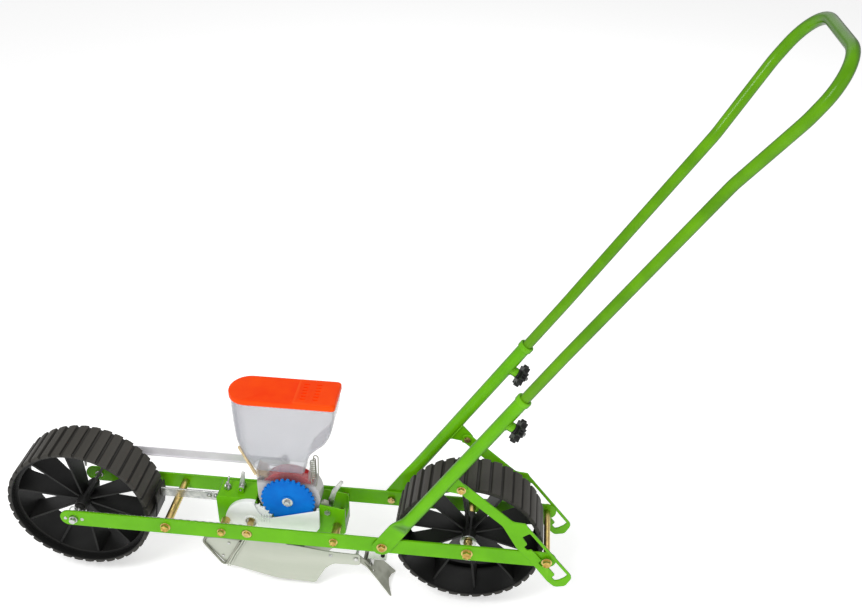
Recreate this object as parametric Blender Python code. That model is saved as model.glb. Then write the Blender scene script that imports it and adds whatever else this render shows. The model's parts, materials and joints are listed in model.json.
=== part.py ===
"""Single-row walk-behind push seeder, modelled as separate jointed pieces.

Lengths below are millimetres in a working frame: X runs from the front axle
towards the handle, Y is across the machine (left side negative), Z is height
with both wheel axles at AXLE_Z.  place() turns them into metres, with the
origin under the middle of the whole machine.
"""
import math

import bmesh
import bpy
from mathutils import Vector
from mathutils.geometry import tessellate_polygon

# ---- driving dimensions (mm) -------------------------------------------------
MID_X = 470.49         # middle of the overall length
LIFT = 32.22           # lowest point, the coverer tips, lies this far below Z = 0
GAP = 0.3              # clearance between neighbouring pieces
AXLE_Z = 115.0
WHEEL_R, WHEEL_HALF_W, LUGS, FINS = 121.0, 38.0, 38, 10
LUG_DEPTH, RIM_INNER, LEDGE_R, HUB_R, HUB_HALF = 4.0, 113.0, 107.0, 12.0, 30.0
SLEEVE_FROM = HUB_HALF + 1.0
X_FRONT, X_REAR = 0.0, 649.6
RAIL_IN, RAIL_OUT, RAIL_H = 53.0, 57.0, 30.0
RAIL_START, RAIL_END = -23.5, 791.5
X_SPACER_F, X_SPACER_R = 155.2, 776.5
X_UNIT_F, X_UNIT_R = 248.9, 433.6
X_DRIVE, X_BRACKET = 290.9, 513.0
SEED_X, SEED_Z = 354.5, 164.0
GEAR_BLUE_N, GEAR_DRIVE_N = 29, 25
TILT = math.radians(57.25)
SOCKET_Y, SOCKET_R, TUBE_R = 68.0, 10.3, 8.0
SOCKET_LEN, TUBE_FROM = 386.0, 236.0
LOOP_BEND, LOOP_SHOULDER, LOOP_TOP = 803.0, 917.0, 1000.0
LOOP_Y_BEND, LOOP_Y_SHOULDER, LOOP_Y_TOP = 79.0, 105.8, 107.0
KNOB_T = 333.5
EAR_X, EAR_Z = 637.0, 254.5
STAY_DROP = math.radians(2.5)
LID_Z, LID_TOP = 362.0, 370.5
HINGE_X, HINGE_Z = 463.0, 43.0
SEG = 16

U = Vector((math.cos(TILT), 0, math.sin(TILT)))       # up along the handle
N = Vector((math.sin(TILT), 0, -math.cos(TILT)))      # square to it, rear side
PIVOT = Vector((X_BRACKET, 0, AXLE_Z))
XYZ = (Vector((1, 0, 0)), Vector((0, 1, 0)), Vector((0, 0, 1)))
SIDE = (XYZ[0], XYZ[2], XYZ[1])                       # outline in XZ, depth Y
PLAN = (XYZ[0], XYZ[1], XYZ[2])                       # outline in XY, depth Z
FRONT = (XYZ[1], XYZ[2], XYZ[0])                      # outline in YZ, depth X

for old in list(bpy.data.objects):
    bpy.data.objects.remove(old, do_unlink=True)


# ---- materials -----------------------------------------------------------------
def paint(name, rgb, metallic=0.0, rough=0.5, alpha=1.0):
    m = bpy.data.materials.new(name)
    m.use_nodes = True
    bsdf = m.node_tree.nodes["Principled BSDF"]
    bsdf.inputs["Base Color"].default_value = (*rgb, 1)
    bsdf.inputs["Metallic"].default_value = metallic
    bsdf.inputs["Roughness"].default_value = rough
    bsdf.inputs["Alpha"].default_value = alpha
    return m


GREEN = paint("green_paint", (0.16, 0.52, 0.03), 0.0, 0.4)
GOLD = paint("zinc_yellow", (0.62, 0.48, 0.2), 0.9, 0.4)
ZINC = paint("zinc", (0.62, 0.62, 0.6), 0.9, 0.4)
STEEL = paint("plate_steel", (0.5, 0.51, 0.48), 0.8, 0.45)
BLACK = paint("black_plastic", (0.03, 0.03, 0.03), 0.0, 0.6)
ORANGE = paint("orange_plastic", (0.95, 0.11, 0.02), 0.0, 0.4)
CLEAR = paint("clear_plastic", (0.75, 0.77, 0.8), 0.0, 0.2, 0.4)
WHITE = paint("white_plastic", (0.85, 0.86, 0.88), 0.0, 0.45)
BLUE = paint("blue_plastic", (0.0, 0.15, 0.6), 0.0, 0.45)
RED = paint("red_plastic", (0.5, 0.01, 0.02), 0.0, 0.4)
BRUSH = paint("brush_fibre", (0.65, 0.52, 0.35), 0.0, 0.8)


# ---- mesh helpers ----------------------------------------------------------------
def place(v):
    return Vector(((v[0] - MID_X) * 0.001, v[1] * 0.001, (v[2] + LIFT) * 0.001))


def make(name, parts, origin, material=None, smooth=True):
    """One object from (points, faces) blocks; no material makes a hidden tool."""
    bm = bmesh.new()
    for points, faces in parts:
        verts = [bm.verts.new(place(p) - place(origin)) for p in points]
        for f in faces:
            bm.faces.new([verts[i] for i in f])
    bmesh.ops.recalc_face_normals(bm, faces=bm.faces)
    mesh = bpy.data.meshes.new(name)
    bm.to_mesh(mesh)
    bm.free()
    obj = bpy.data.objects.new(name, mesh)
    obj.location = place(origin)
    bpy.context.collection.objects.link(obj)
    if material is None:
        obj.hide_render = True
        obj.display_type = "WIRE"
    else:
        mesh.materials.append(material)
        if smooth:
            mesh.shade_smooth()
            mesh.set_sharp_from_angle(angle=math.radians(35))
    return obj


def combine(obj, operation, *parts):
    """Boolean the given blocks into an object through a hidden tool."""
    count = len(obj.modifiers)
    tool = make(f"{obj.name}_tool{count}", parts, Vector((MID_X, 0, 0)))
    mod = obj.modifiers.new(f"{operation.lower()}{count}", "BOOLEAN")
    mod.operation = operation
    mod.solver = "EXACT"
    mod.object = tool
    return obj


def prism(outline, lo, hi, frame=SIDE, origin=(0, 0, 0), holes=()):
    """Closed block: flat outline (with holes) given depth along frame[2]."""
    loops = [list(outline)] + [list(h) for h in holes]
    flat = [p for loop in loops for p in loop]
    caps = tessellate_polygon([[Vector((a, b, 0)) for a, b in loop] for loop in loops])
    n = len(flat)
    base = Vector(origin)
    points = [base + frame[0] * a + frame[1] * b + frame[2] * d
              for d in (lo, hi) for a, b in flat]
    faces = [tuple(t) for t in caps] + [tuple(i + n for i in t) for t in caps]
    start = 0
    for loop in loops:
        m = len(loop)
        for i in range(m):
            a, b = start + i, start + (i + 1) % m
            faces.append((a, b, b + n, a + n))
        start += m
    return points, faces


def box(x0, x1, y0, y1, z0, z1):
    return prism([(x0, z0), (x1, z0), (x1, z1), (x0, z1)], y0, y1)


def circle(r, cx=0.0, cz=0.0, seg=SEG):
    step = 2 * math.pi / seg
    return [(cx + r * math.cos(i * step), cz + r * math.sin(i * step)) for i in range(seg)]


def arc(cx, cz, r, a0, a1, seg=8):
    """Points on an arc, angles in degrees."""
    angles = [math.radians(a0 + (a1 - a0) * i / seg) for i in range(seg + 1)]
    return [(cx + r * math.cos(a), cz + r * math.sin(a)) for a in angles]


def disc_y(cx, cz, r, y0, y1, seg=SEG):
    return prism(circle(r, cx, cz, seg), y0, y1)


def disc_z(cx, cy, r, z0, z1, seg=SEG):
    return prism(circle(r, cx, cy, seg), z0, z1, PLAN)


def loft(rings, closed=False):
    """Skin a list of equal point rings; closed joins the last ring to the first."""
    n = len(rings[0])
    points = [p for ring in rings for p in ring]
    faces = []
    last = len(rings) if closed else len(rings) - 1
    for k in range(last):
        a, b = k * n, (k + 1) % len(rings) * n
        for i in range(n):
            j = (i + 1) % n
            faces.append((a + i, a + j, b + j, b + i))
    if not closed:
        faces.append(tuple(range(n)))
        faces.append(tuple(range(len(points) - n, len(points))))
    return points, faces


def rod_y(cx, cz, stations, seg=12):
    """Turned bar along Y: stations are (y, radius) or (y, across-flats half, 'hex')."""
    rings = []
    for y, r, *kind in stations:
        ring = []
        for i in range(seg):
            a = 2 * math.pi * i / seg
            rad = r
            if kind:
                rad = r / math.cos((a + math.pi / 6) % (math.pi / 3) - math.pi / 6)
            ring.append(Vector((cx + rad * math.cos(a), y, cz + rad * math.sin(a))))
        rings.append(ring)
    return loft(rings)


def ring_y(cx, cz, section, seg=SEG):
    """Solid of revolution about a Y axis from a closed (radius, y) section."""
    rings = []
    for i in range(seg):
        a = 2 * math.pi * i / seg
        rings.append([Vector((cx + r * math.cos(a), y, cz + r * math.sin(a))) for r, y in section])
    return loft(rings, closed=True)


def sweep(path, radius, seg=12, bore=0.0):
    """Round bar or open tube along a path."""
    tangents = []
    for i in range(len(path)):
        ahead = path[min(i + 1, len(path) - 1)] - path[max(i - 1, 0)]
        tangents.append(ahead.normalized())
    side = tangents[0].orthogonal().normalized()
    frames = []
    for t in tangents:
        side = (side - t * side.dot(t)).normalized()
        frames.append((side, t.cross(side)))

    def rings(r):
        turns = [2 * math.pi * k / seg for k in range(seg)]
        return [[p + (s * math.cos(a) + c * math.sin(a)) * r for a in turns]
                for p, (s, c) in zip(path, frames)]
    if not bore:
        return loft(rings(radius))
    return loft(rings(radius) + rings(bore)[::-1], closed=True)


def rounded_path(corners, radii, step=8):
    """Polyline with filleted corners (3-D points)."""
    out = [corners[0]]
    for i in range(1, len(corners) - 1):
        a, p, b = corners[i - 1], corners[i], corners[i + 1]
        u, v = (a - p).normalized(), (b - p).normalized()
        half = u.angle(v) / 2
        cut = radii[i - 1] / math.tan(half)
        centre = p + (u + v).normalized() * (radii[i - 1] / math.sin(half))
        r0, r1 = p + u * cut - centre, p + v * cut - centre
        turn = r0.angle(r1)
        for k in range(step + 1):
            f = k / step
            w = (r0 * math.sin((1 - f) * turn) + r1 * math.sin(f * turn)) / math.sin(turn)
            out.append(centre + w)
    out.append(corners[-1])
    return out


def gear(n, root, tip, cx, cz, phase=0.0, width=0.42):
    """Outline of a coarse moulded gear."""
    pts = []
    for i in range(n):
        a = 2 * math.pi * (i + phase) / n
        w = 2 * math.pi / n * width
        for r, da in ((root, -w * 0.62), (tip, -w * 0.38), (tip, w * 0.38), (root, w * 0.62)):
            pts.append((cx + r * math.cos(a + da), cz + r * math.sin(a + da)))
    return pts


def mirror(parts):
    """The same blocks on the other side of the machine."""
    return [([Vector((p[0], -p[1], p[2])) for p in points], faces) for points, faces in parts]


def pair(stem, parts, origin, material, smooth=True):
    """Left piece from blocks given for +Y, and its mirror image."""
    o = Vector(origin)
    right = make(f"{stem}_right", parts, o, material, smooth)
    left = make(f"{stem}_left", mirror(parts), Vector((o.x, -o.y, o.z)), material, smooth)
    return right, left


def combine_pair(objects, operation, *parts):
    combine(objects[0], operation, *parts)
    combine(objects[1], operation, *mirror(parts))


def on_handle(t, y, n=0.0):
    return PIVOT + U * t + N * n + Vector((0, y, 0))


# ---- main frame --------------------------------------------------------------------
def rails():
    half = RAIL_H / 2
    outline = arc(RAIL_END - half, AXLE_Z, half, -90, 90) + arc(RAIL_START + half, AXLE_Z, half, 90, 270)
    holes = [circle(r + GAP, x, AXLE_Z, 12) for x, r in (
        (X_FRONT, 7.0), (X_SPACER_F, 4.0), (X_UNIT_F, 3.0), (X_DRIVE, 8.2), (X_UNIT_R, 3.0),
        (X_BRACKET, 4.0), (X_REAR, 5.0), (X_SPACER_R, 4.0))]
    pair("rail", [prism(outline, RAIL_IN, RAIL_OUT, holes=holes)], (X_UNIT_R, 55, AXLE_Z), GREEN, False)


def through_bolt(name, x, half_span, shoulders, head_y, r=4.0):
    """Bolt across the machine: hex head left, nut right, optional thicker sleeves."""
    head = 5.5
    out = head_y + GAP
    stations = [(-out - 4.5, head - 1.0), (-out - 4.0, head, "hex"), (-out, head, "hex"), (-out, r)]
    for y0, y1, rs in shoulders:
        stations += [(y0, r), (y0, rs), (y1, rs), (y1, r)]
    stations += [(out, r), (out, head, "hex"), (out + 5.0, head, "hex"), (out + 5.0, r),
                 (half_span, r)]
    make(name, [rod_y(x, AXLE_Z, stations)], (x, 0, AXLE_Z), GOLD)


def cross_members():
    inner = RAIL_IN - GAP
    for name, x, head, tube_r in (("front_spacer", X_SPACER_F, RAIL_OUT, 6.8),
                                  ("rear_spacer", X_SPACER_R, 61.0, 5.1)):
        through_bolt(f"{name}_bolt", x, head + 9, (), head)
        tube = ring_y(x, AXLE_Z, [(4.2, -inner), (tube_r, -inner), (tube_r, inner), (4.2, inner)])
        make(f"{name}_tube", [tube], (x, 0, AXLE_Z), GOLD)
    far = (20.3, inner, 7.0)
    through_bolt("unit_front_bolt", X_UNIT_F, 66, ((-inner, -28.6, 7.0), far), RAIL_OUT, 3.0)
    through_bolt("unit_rear_bolt", X_UNIT_R, 66, ((-inner, -20.3, 7.0), far), RAIL_OUT, 3.0)
    sleeves = ((-inner, -SLEEVE_FROM, 7.0), (SLEEVE_FROM, inner, 7.0))
    through_bolt("rear_axle", X_REAR, 67, sleeves, RAIL_OUT, 5.0)
    stations = [(-5.0, 4.0), (4.4, 4.0), (4.4, 5.5, "hex"), (8.9, 5.5, "hex"), (9.4, 4.5)]
    bolt = rod_y(X_BRACKET, AXLE_Z, [(y + 56.3, *rest) for y, *rest in stations])
    nut = rod_y(X_BRACKET, AXLE_Z, [(46.0, 4.0), (47.5, 4.0), (47.5, 5.5, "hex"),
                                    (52.7, 5.5, "hex"), (52.7, 4.0), (56.0, 4.0)])
    combine_pair(pair("bracket_bolt", [bolt], (X_BRACKET, 60, AXLE_Z), GOLD), "UNION", nut)


def bearings():
    for name, x, bore_r, end, material in (("front_bearing", X_FRONT, 7.0, 60.5, ZINC),
                                           ("drive_bush", X_DRIVE, 8.2, 57.6, GOLD)):
        section = [(5.3, 51.9), (10.5, 51.9), (10.5, 52.7), (bore_r, 52.7), (bore_r, end), (5.3, end)]
        pair(name, [ring_y(x, AXLE_Z, section)], (x, 55, AXLE_Z), material)


# ---- wheels ---------------------------------------------------------------------------
def wheel(name, x, ledge_y, bore, phase):
    pitch = 2 * math.pi / LUGS
    tread = []
    for i in range(LUGS):
        for r, part in ((WHEEL_R - LUG_DEPTH, 0.0), (WHEEL_R, 0.08), (WHEEL_R, 0.8),
                        (WHEEL_R - LUG_DEPTH, 0.86)):
            a = pitch * (i + part)
            tread.append((x + r * math.cos(a), AXLE_Z + r * math.sin(a)))
    inner = circle(RIM_INNER, x, AXLE_Z, 44)
    obj = make(name, [prism(tread, -WHEEL_HALF_W, WHEEL_HALF_W, holes=[inner])],
               (x, 0, AXLE_Z), BLACK)
    ledge = ring_y(x, AXLE_Z, [(LEDGE_R, ledge_y - 1.5), (RIM_INNER + 1.5, ledge_y - 1.5),
                               (RIM_INNER + 1.5, ledge_y + 1.5), (LEDGE_R, ledge_y + 1.5)], 37)
    fins = []
    for k in range(FINS):
        a = phase + 2 * math.pi * k / FINS
        out, across = Vector((math.cos(a), 0, math.sin(a))), Vector((-math.sin(a), 0, math.cos(a)))
        shape = [(9.5, -12), (16, -14), (RIM_INNER + 1, -24), (RIM_INNER + 1, 24), (16, 14), (9.5, 12)]
        fins.append(prism(shape, -2.0, 2.0, (out, XYZ[1], across), (x, 0, AXLE_Z)))
    combine(obj, "UNION", ledge)
    combine(obj, "UNION", *fins)
    combine(obj, "UNION", disc_y(x, AXLE_Z, HUB_R, -HUB_HALF, HUB_HALF, 20))
    combine(obj, "DIFFERENCE", disc_y(x, AXLE_Z, bore, -HUB_HALF - 5, HUB_HALF + 5))


def wheels():
    wheel("front_wheel", X_FRONT, -25.0, 6.3, math.radians(24))
    wheel("rear_wheel", X_REAR, 25.0, 8.6, math.radians(25))
    seat = HUB_HALF + 0.5
    axle = [(-66, 4.0), (-65, 5.0), (-seat, 5.0), (-seat, 6.0), (seat, 6.0), (seat, 5.0), (65, 5.0),
            (66, 4.0)]
    bush = HUB_HALF + 0.4
    make("front_axle", [rod_y(X_FRONT, AXLE_Z, axle)], (X_FRONT, 0, AXLE_Z), ZINC)
    section = [(5.3, -bush), (8.3, -bush), (8.3, bush), (5.3, bush)]
    make("rear_wheel_bush", [ring_y(X_REAR, AXLE_Z, section)], (X_REAR, 0, AXLE_Z), ZINC)


# ---- drive ------------------------------------------------------------------------------
def drive():
    for name, x in (("front_sprocket", X_FRONT), ("drive_sprocket", X_DRIVE)):
        teeth = gear(12, 6.5, 8.0, x, AXLE_Z)
        make(name, [prism(teeth, -51.2, -48.8, holes=[circle(5.3, x, AXLE_Z)])],
             (x, -50, AXLE_Z), ZINC, False)
    loop = [arc(X_DRIVE, AXLE_Z, r, -90, 90, 12) + arc(X_FRONT, AXLE_Z, r, 90, 270, 12) for r in (10.8, 8.4)]
    make("drive_chain", [prism(loop[0], -51.6, -48.4, holes=[loop[1]])], (X_UNIT_F, -50, AXLE_Z), ZINC)
    shaft = [(-61, 4.0), (-60.5, 5.0), (60.5, 5.0), (61, 4.0)]
    make("drive_shaft", [rod_y(X_DRIVE, AXLE_Z, shaft)], (X_DRIVE, 0, AXLE_Z), ZINC)
    span = math.hypot(SEED_X - X_DRIVE, SEED_Z - AXLE_Z)
    slope = math.atan2(SEED_Z - AXLE_Z, SEED_X - X_DRIVE) / (2 * math.pi)
    total = GEAR_BLUE_N + GEAR_DRIVE_N
    r_drive, r_blue = span * GEAR_DRIVE_N / total, span * GEAR_BLUE_N / total
    teeth = gear(GEAR_DRIVE_N, r_drive - 2.2, r_drive + 1.4, X_DRIVE, AXLE_Z, slope * GEAR_DRIVE_N)
    make("drive_gear", [prism(teeth, -24.5, -20.6, holes=[circle(5.3, X_DRIVE, AXLE_Z)])],
         (X_DRIVE, -22.5, AXLE_Z), WHITE, False)
    teeth = gear(GEAR_BLUE_N, r_blue - 2.2, r_blue + 1.4, SEED_X, SEED_Z, (slope + 0.5) * GEAR_BLUE_N + 0.5)
    obj = make("seed_gear", [prism(teeth, -24.5, -20.6, holes=[circle(5.3, SEED_X, SEED_Z)])],
               (SEED_X, -22.5, SEED_Z), BLUE, False)
    combine(obj, "UNION", ring_y(SEED_X, SEED_Z, [(5.3, -26.5), (9.5, -26.5), (10.5, -24.0), (5.3, -24.0)]))
    shaft = [(-31.5, 3.5), (-31.0, 4.6, "hex"), (-28.3, 4.6, "hex"), (-28.3, 8.8), (-26.8, 8.8),
             (-26.8, 5.0), (19.0, 5.0), (20.0, 4.0)]
    make("seed_shaft", [rod_y(SEED_X, SEED_Z, shaft)], (SEED_X, 0, SEED_Z), ZINC)
    cells = []
    for i in range(16):
        cells += arc(SEED_X, SEED_Z, 48.0, i * 22.5, i * 22.5 + 16, 3)
        cells.append((SEED_X + 45.0 * math.cos(math.radians(i * 22.5 + 19.2)),
                      SEED_Z + 45.0 * math.sin(math.radians(i * 22.5 + 19.2))))
    make("seed_roller", [prism(cells, -11.0, 11.0, holes=[circle(5.3, SEED_X, SEED_Z)])],
         (SEED_X, 0, SEED_Z), RED, False)


# ---- seed unit -----------------------------------------------------------------------------
def unit_frame():
    outline = [(233, 96), (447, 96), (447, 144)] + arc(443, 146, 4, 0, 75, 3) + \
              [(405, 157), (402, 135), (304, 135), (300, 158), (233, 158)]
    holes = [circle(r, x, z, 12) for r, x, z in ((3.3, X_UNIT_F, AXLE_Z), (3.3, X_UNIT_R, AXLE_Z),
                                                 (5.3, X_DRIVE, AXLE_Z), (3.3, 418, 143))]
    obj = make("unit_frame", [prism(outline, -20, 20, holes=holes)], (X_UNIT_F, 0, AXLE_Z), GREEN, False)
    combine(obj, "DIFFERENCE", box(235, 301, -18, 18, 90, 156))
    combine(obj, "DIFFERENCE", box(300.5, 445, -18, 18, 90, 165))
    combine(obj, "DIFFERENCE", box(440, 450, -16, 16, 124, 165))
    combine(obj, "UNION", box(267, 277, 7.2, 9.2, 156.5, 169), box(267, 277, -9.2, -7.2, 156.5, 169))
    combine(obj, "DIFFERENCE", disc_y(272, 164, 2.6, -12, 12, 12))


def side_cover():
    lobe, wall = 43.0, 1.8
    front = arc(X_DRIVE, AXLE_Z, lobe, 80, 290, 16) + [(330, 82), (396, 98), (405, 112), (406.5, 153)] \
        + [(326, 126)] + arc(SEED_X, SEED_Z, 57, 222, 191, 6)
    obj = make("side_cover", [prism(front, -28.0, -26.4, holes=[circle(9.5, X_DRIVE, AXLE_Z)])],
               (X_DRIVE, -26, AXLE_Z), WHITE)
    rim = arc(X_DRIVE, AXLE_Z, lobe - 0.3, 78, 288, 15) + arc(X_DRIVE, AXLE_Z, lobe - wall, 288, 78, 15)
    combine(obj, "UNION", prism(rim, -27.0, -20.3), box(401, 404.8, -27.0, -20.3, 112, 150))
    ring = [(9.5, -29.2), (12.5, -29.2), (13.0, -27.5), (9.5, -27.5)]
    combine(obj, "UNION", ring_y(X_DRIVE, AXLE_Z, ring))
    combine(obj, "DIFFERENCE", disc_y(X_UNIT_F, AXLE_Z, 3.4, -32, -15))


def housing():
    def outline(grow, top):
        r = 49.5 + grow
        right = math.degrees(math.acos((388 + grow - SEED_X) / r))
        return [(388 + grow, top), (SEED_X - r, top)] + arc(SEED_X, SEED_Z, r, 180, 360 + right, 30)
    obj = make("roller_housing", [prism(outline(2.2, 216), -15, 15)], (SEED_X, 0, SEED_Z), CLEAR)
    combine(obj, "DIFFERENCE", prism(outline(0.0, 220), -12.6, 12.6))
    combine(obj, "DIFFERENCE", disc_y(SEED_X, SEED_Z, 5.3, -20, 20))
    combine(obj, "DIFFERENCE", box(341, 368, -9, 9, 105, 120))


def hopper_ring(z, x0, x1, w, corner, seg=5):
    """D-shaped section: round front, square back with rounded corners."""
    r = min(w, (x1 - x0) * 0.6)
    pts = [(x0 + r - r * math.sin(a), -w * math.cos(a)) for a in
           [math.pi * k / (2 * seg) for k in range(2 * seg + 1)]]
    pts += [(x1 - corner + p, w - corner + q) for p, q in arc(0, 0, corner, 90, 0, 2)]
    pts += [(x1 - corner + p, -w + corner + q) for p, q in arc(0, 0, corner, 0, -90, 2)]
    return [Vector((x, y, z)) for x, y in pts]


def hopper():
    stations = [(216.3, 296, 382, 14.5), (233, 286, 386, 18), (250, 279.5, 391, 21.5), (262, 276.5, 396, 23.5),
                (276, 273.5, 408, 26), (290, 272.5, 421, 27.5), (312, 271.5, 431, 28.8), (340, 271, 437, 30),
                (LID_Z, 271, 437, 30.6)]
    outer = [hopper_ring(z, a, b, w, 5) for z, a, b, w in stations]
    inner = [hopper_ring(z, a + 2, b - 2, w - 2, 4) for z, a, b, w in stations]
    make("hopper_body", [loft(outer + inner[::-1], closed=True)], (SEED_X, 0, 290), CLEAR)
    top = [hopper_ring(z, 269 + d, 440 - d, 32.6 - d, 6) for z, d in
           ((LID_Z - 2, 0), (LID_TOP - 3, 0), (LID_TOP - 1, 0.8), (LID_TOP, 3.0))]
    obj = make("hopper_lid", [loft(top)], (SEED_X, 0, LID_Z), ORANGE)
    skirt = loft([hopper_ring(z, 270.7, 437.3, 30.9, 5) for z in (LID_Z - 4, LID_Z + GAP)])
    combine(obj, "DIFFERENCE", skirt)
    combine(obj, "DIFFERENCE", loft([hopper_ring(z, 274, 434, 27.6, 4) for z in (LID_Z - 1, LID_TOP - 2)]))
    brush = prism([(305.6, 214), (318, 214), (321, 203), (313, 196), (305.6, 199)], -11.5, 11.5)
    make("seed_brush", [brush], (312, 0, 205), BRUSH, False)
    coil = [Vector((398 + 0.17 * k, 4.2 * math.cos(k * math.pi / 4), 243 - 1.1 * k))
            + Vector((4.2 * math.sin(k * math.pi / 4), 0, 0)) for k in range(40)]
    make("spring_clip", [sweep(coil, 0.8, 6)], (402, 0, 220), ZINC)


def unit_fittings():
    lever = prism(arc(272, 164, 5, 165, 375, 6) + [(279.5, 194), (277, 197), (273.5, 195)], -1.5, 1.5)
    obj = make("front_lever", [lever], (272, 0, 164), ZINC)
    combine(obj, "UNION", rod_y(272, 164, [(-9.2, 2.2), (-6.8, 2.2), (-6.8, 4.5), (6.8, 4.5),
                                           (6.8, 2.2), (9.2, 2.2)]))
    pin = rod_y(418, 143, [(-22, 4.5), (-20.3, 4.5), (-20.3, 3.0), (20.3, 3.0), (20.3, 4.5), (22, 4.5)])
    obj = make("rear_lever", [pin], (418, 0, 143), ZINC)
    blade = prism([(412, 141), (422, 139), (431, 176), (444, 200), (440, 203), (425, 180)], -9.5, -6.5)
    combine(obj, "UNION", blade)
    nut = make("wing_nut", [disc_z(248, 0, 6.0, 158.3, 164)], (248, 0, 160), ZINC)
    wings = prism([(-5, 160), (5, 160), (13, 173), (9, 176), (3, 166), (-3, 166), (-9, 176), (-13, 173)],
                  -1.2, 1.2, FRONT, (248, 0, 0))
    combine(nut, "UNION", wings)
    bar = prism([(131.8, 130), (232.7, 130), (232.7, 147), (131.8, 147)], -1.5, 1.5)
    obj = make("scraper_arm", [bar], (232, 0, 138), ZINC, False)
    heads = [rod_y(x, 138.5, [(-4.2, 3.0), (-3.4, 4.0), (1.0, 4.0)], 12) for x in (215, 226)]
    combine(obj, "UNION", *heads)
    blade = prism([(124, 99), (126.5, 98.5), (131.5, 126), (131.5, 146), (129.1, 146), (129.1, 127)], -21, 21)
    make("scraper_blade", [blade], (130, 0, 130), BLACK, False)


# ---- soil tools -------------------------------------------------------------------------------
def shoe():
    half, nose_x, full_x = 22.3, 205.0, 325.0
    wall = [(nose_x, 0), (full_x, half), (471, half), (471, half - 2), (full_x, half - 2), (nose_x + 12, 0)]
    objs = pair("shoe_plate", [prism(wall, -40, 130, PLAN)], (HINGE_X, half, HINGE_Z), STEEL, False)
    side = [(231.5, -15.5), (262, -16), (320, -19), (388, -22)] + arc(386, -13, 9, -75, -10, 3) + \
           [(409.5, 14)] + arc(432, 8, 20, 130, 95, 3) + arc(466, 33, 4, -90, 0, 2) + \
           arc(466, 49, 4, 0, 90, 2) + [(457, 53), (428.5, 54), (411, 55), (368, 61), (345, 63),
                                        (345, 116), (334, 116), (334, 66), (300, 94), (269, 94)]
    combine_pair(objs, "INTERSECT", prism(side, -30, 30))
    combine_pair(objs, "DIFFERENCE", disc_y(HINGE_X, HINGE_Z, 2.8, -30, 30))
    tip = [Vector((x, y, z)) for x, y, z in ((194, -0.8, 30), (194, 0.8, 30), (201, 1.2, 41), (201, -1.2, 41))]
    heel = [Vector((x, y, z)) for x, y, z in ((230, -3.6, -17), (230, 3.6, -17), (253, 8.4, 51), (253, -8.4, 51))]
    make("shoe_nose", [loft([tip, heel])], (HINGE_X, 0, HINGE_Z), STEEL, False)
    tube = prism([(-14, -8), (14, -8), (14, 8), (-14, 8)], 2, 111, PLAN, (354.5, 0, 0),
                 [[(-12.5, -6.5), (12.5, -6.5), (12.5, 6.5), (-12.5, 6.5)]])
    make("seed_tube", [tube], (354.5, 0, 111), BLACK, False)
    pin = rod_y(HINGE_X, HINGE_Z, [(-25, 3.6), (-24, 4.2), (-22.7, 4.2), (-22.7, 2.5), (22.7, 2.5),
                                   (22.7, 4.2), (24, 4.2), (25, 3.6)])
    make("coverer_pin", [pin], (HINGE_X, 0, HINGE_Z), ZINC)


def coverer():
    top, tip = Vector((478, 0, 30)), Vector((522, 0, -31))
    along = (tip - top).normalized()
    frame = (along, XYZ[1], along.cross(XYZ[1]))
    tail = [(-6, -19), (8, -21), (40, -24), (74.5, -29), (76, -27.5), (66, -12), (62, 0), (66, 12),
            (76, 27.5), (74.5, 29), (40, 24), (8, 21), (-6, 19)]
    origin = (HINGE_X, 0, HINGE_Z)
    obj = make("coverer", [prism(tail, -1.0, 1.0, frame, top, [circle(2.2, 12, -12, 8),
                                                               circle(2.2, 22, -15, 8)])],
               origin, STEEL, False)
    lug = arc(HINGE_X, HINGE_Z, 7.5, 60, 250, 5) + [(478, 24), (490, 12), (490, 18), (480, 36)]
    combine(obj, "UNION", prism(lug, 16.5, 18.5), prism(lug, -18.5, -16.5))
    combine(obj, "DIFFERENCE", disc_y(HINGE_X, HINGE_Z, 2.8, -30, 30))
    out = frame[2] if frame[2].z > 0 else -frame[2]
    foot = [top + along * a + out * b for a, b in ((1, 1.3), (16, 1.3), (16, 3.0))]
    strip = [(p.x, p.z) for p in foot] + [(484.5, 31.5), (512, 31.5), (512, 33.4), (480.5, 33.4)]
    obj = make("coverer_tab", [prism(strip, -9, 9)], origin, ZINC, False)
    combine(obj, "UNION", disc_z(505, 0, 3.2, 33.0, 35.2, 12))


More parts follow.
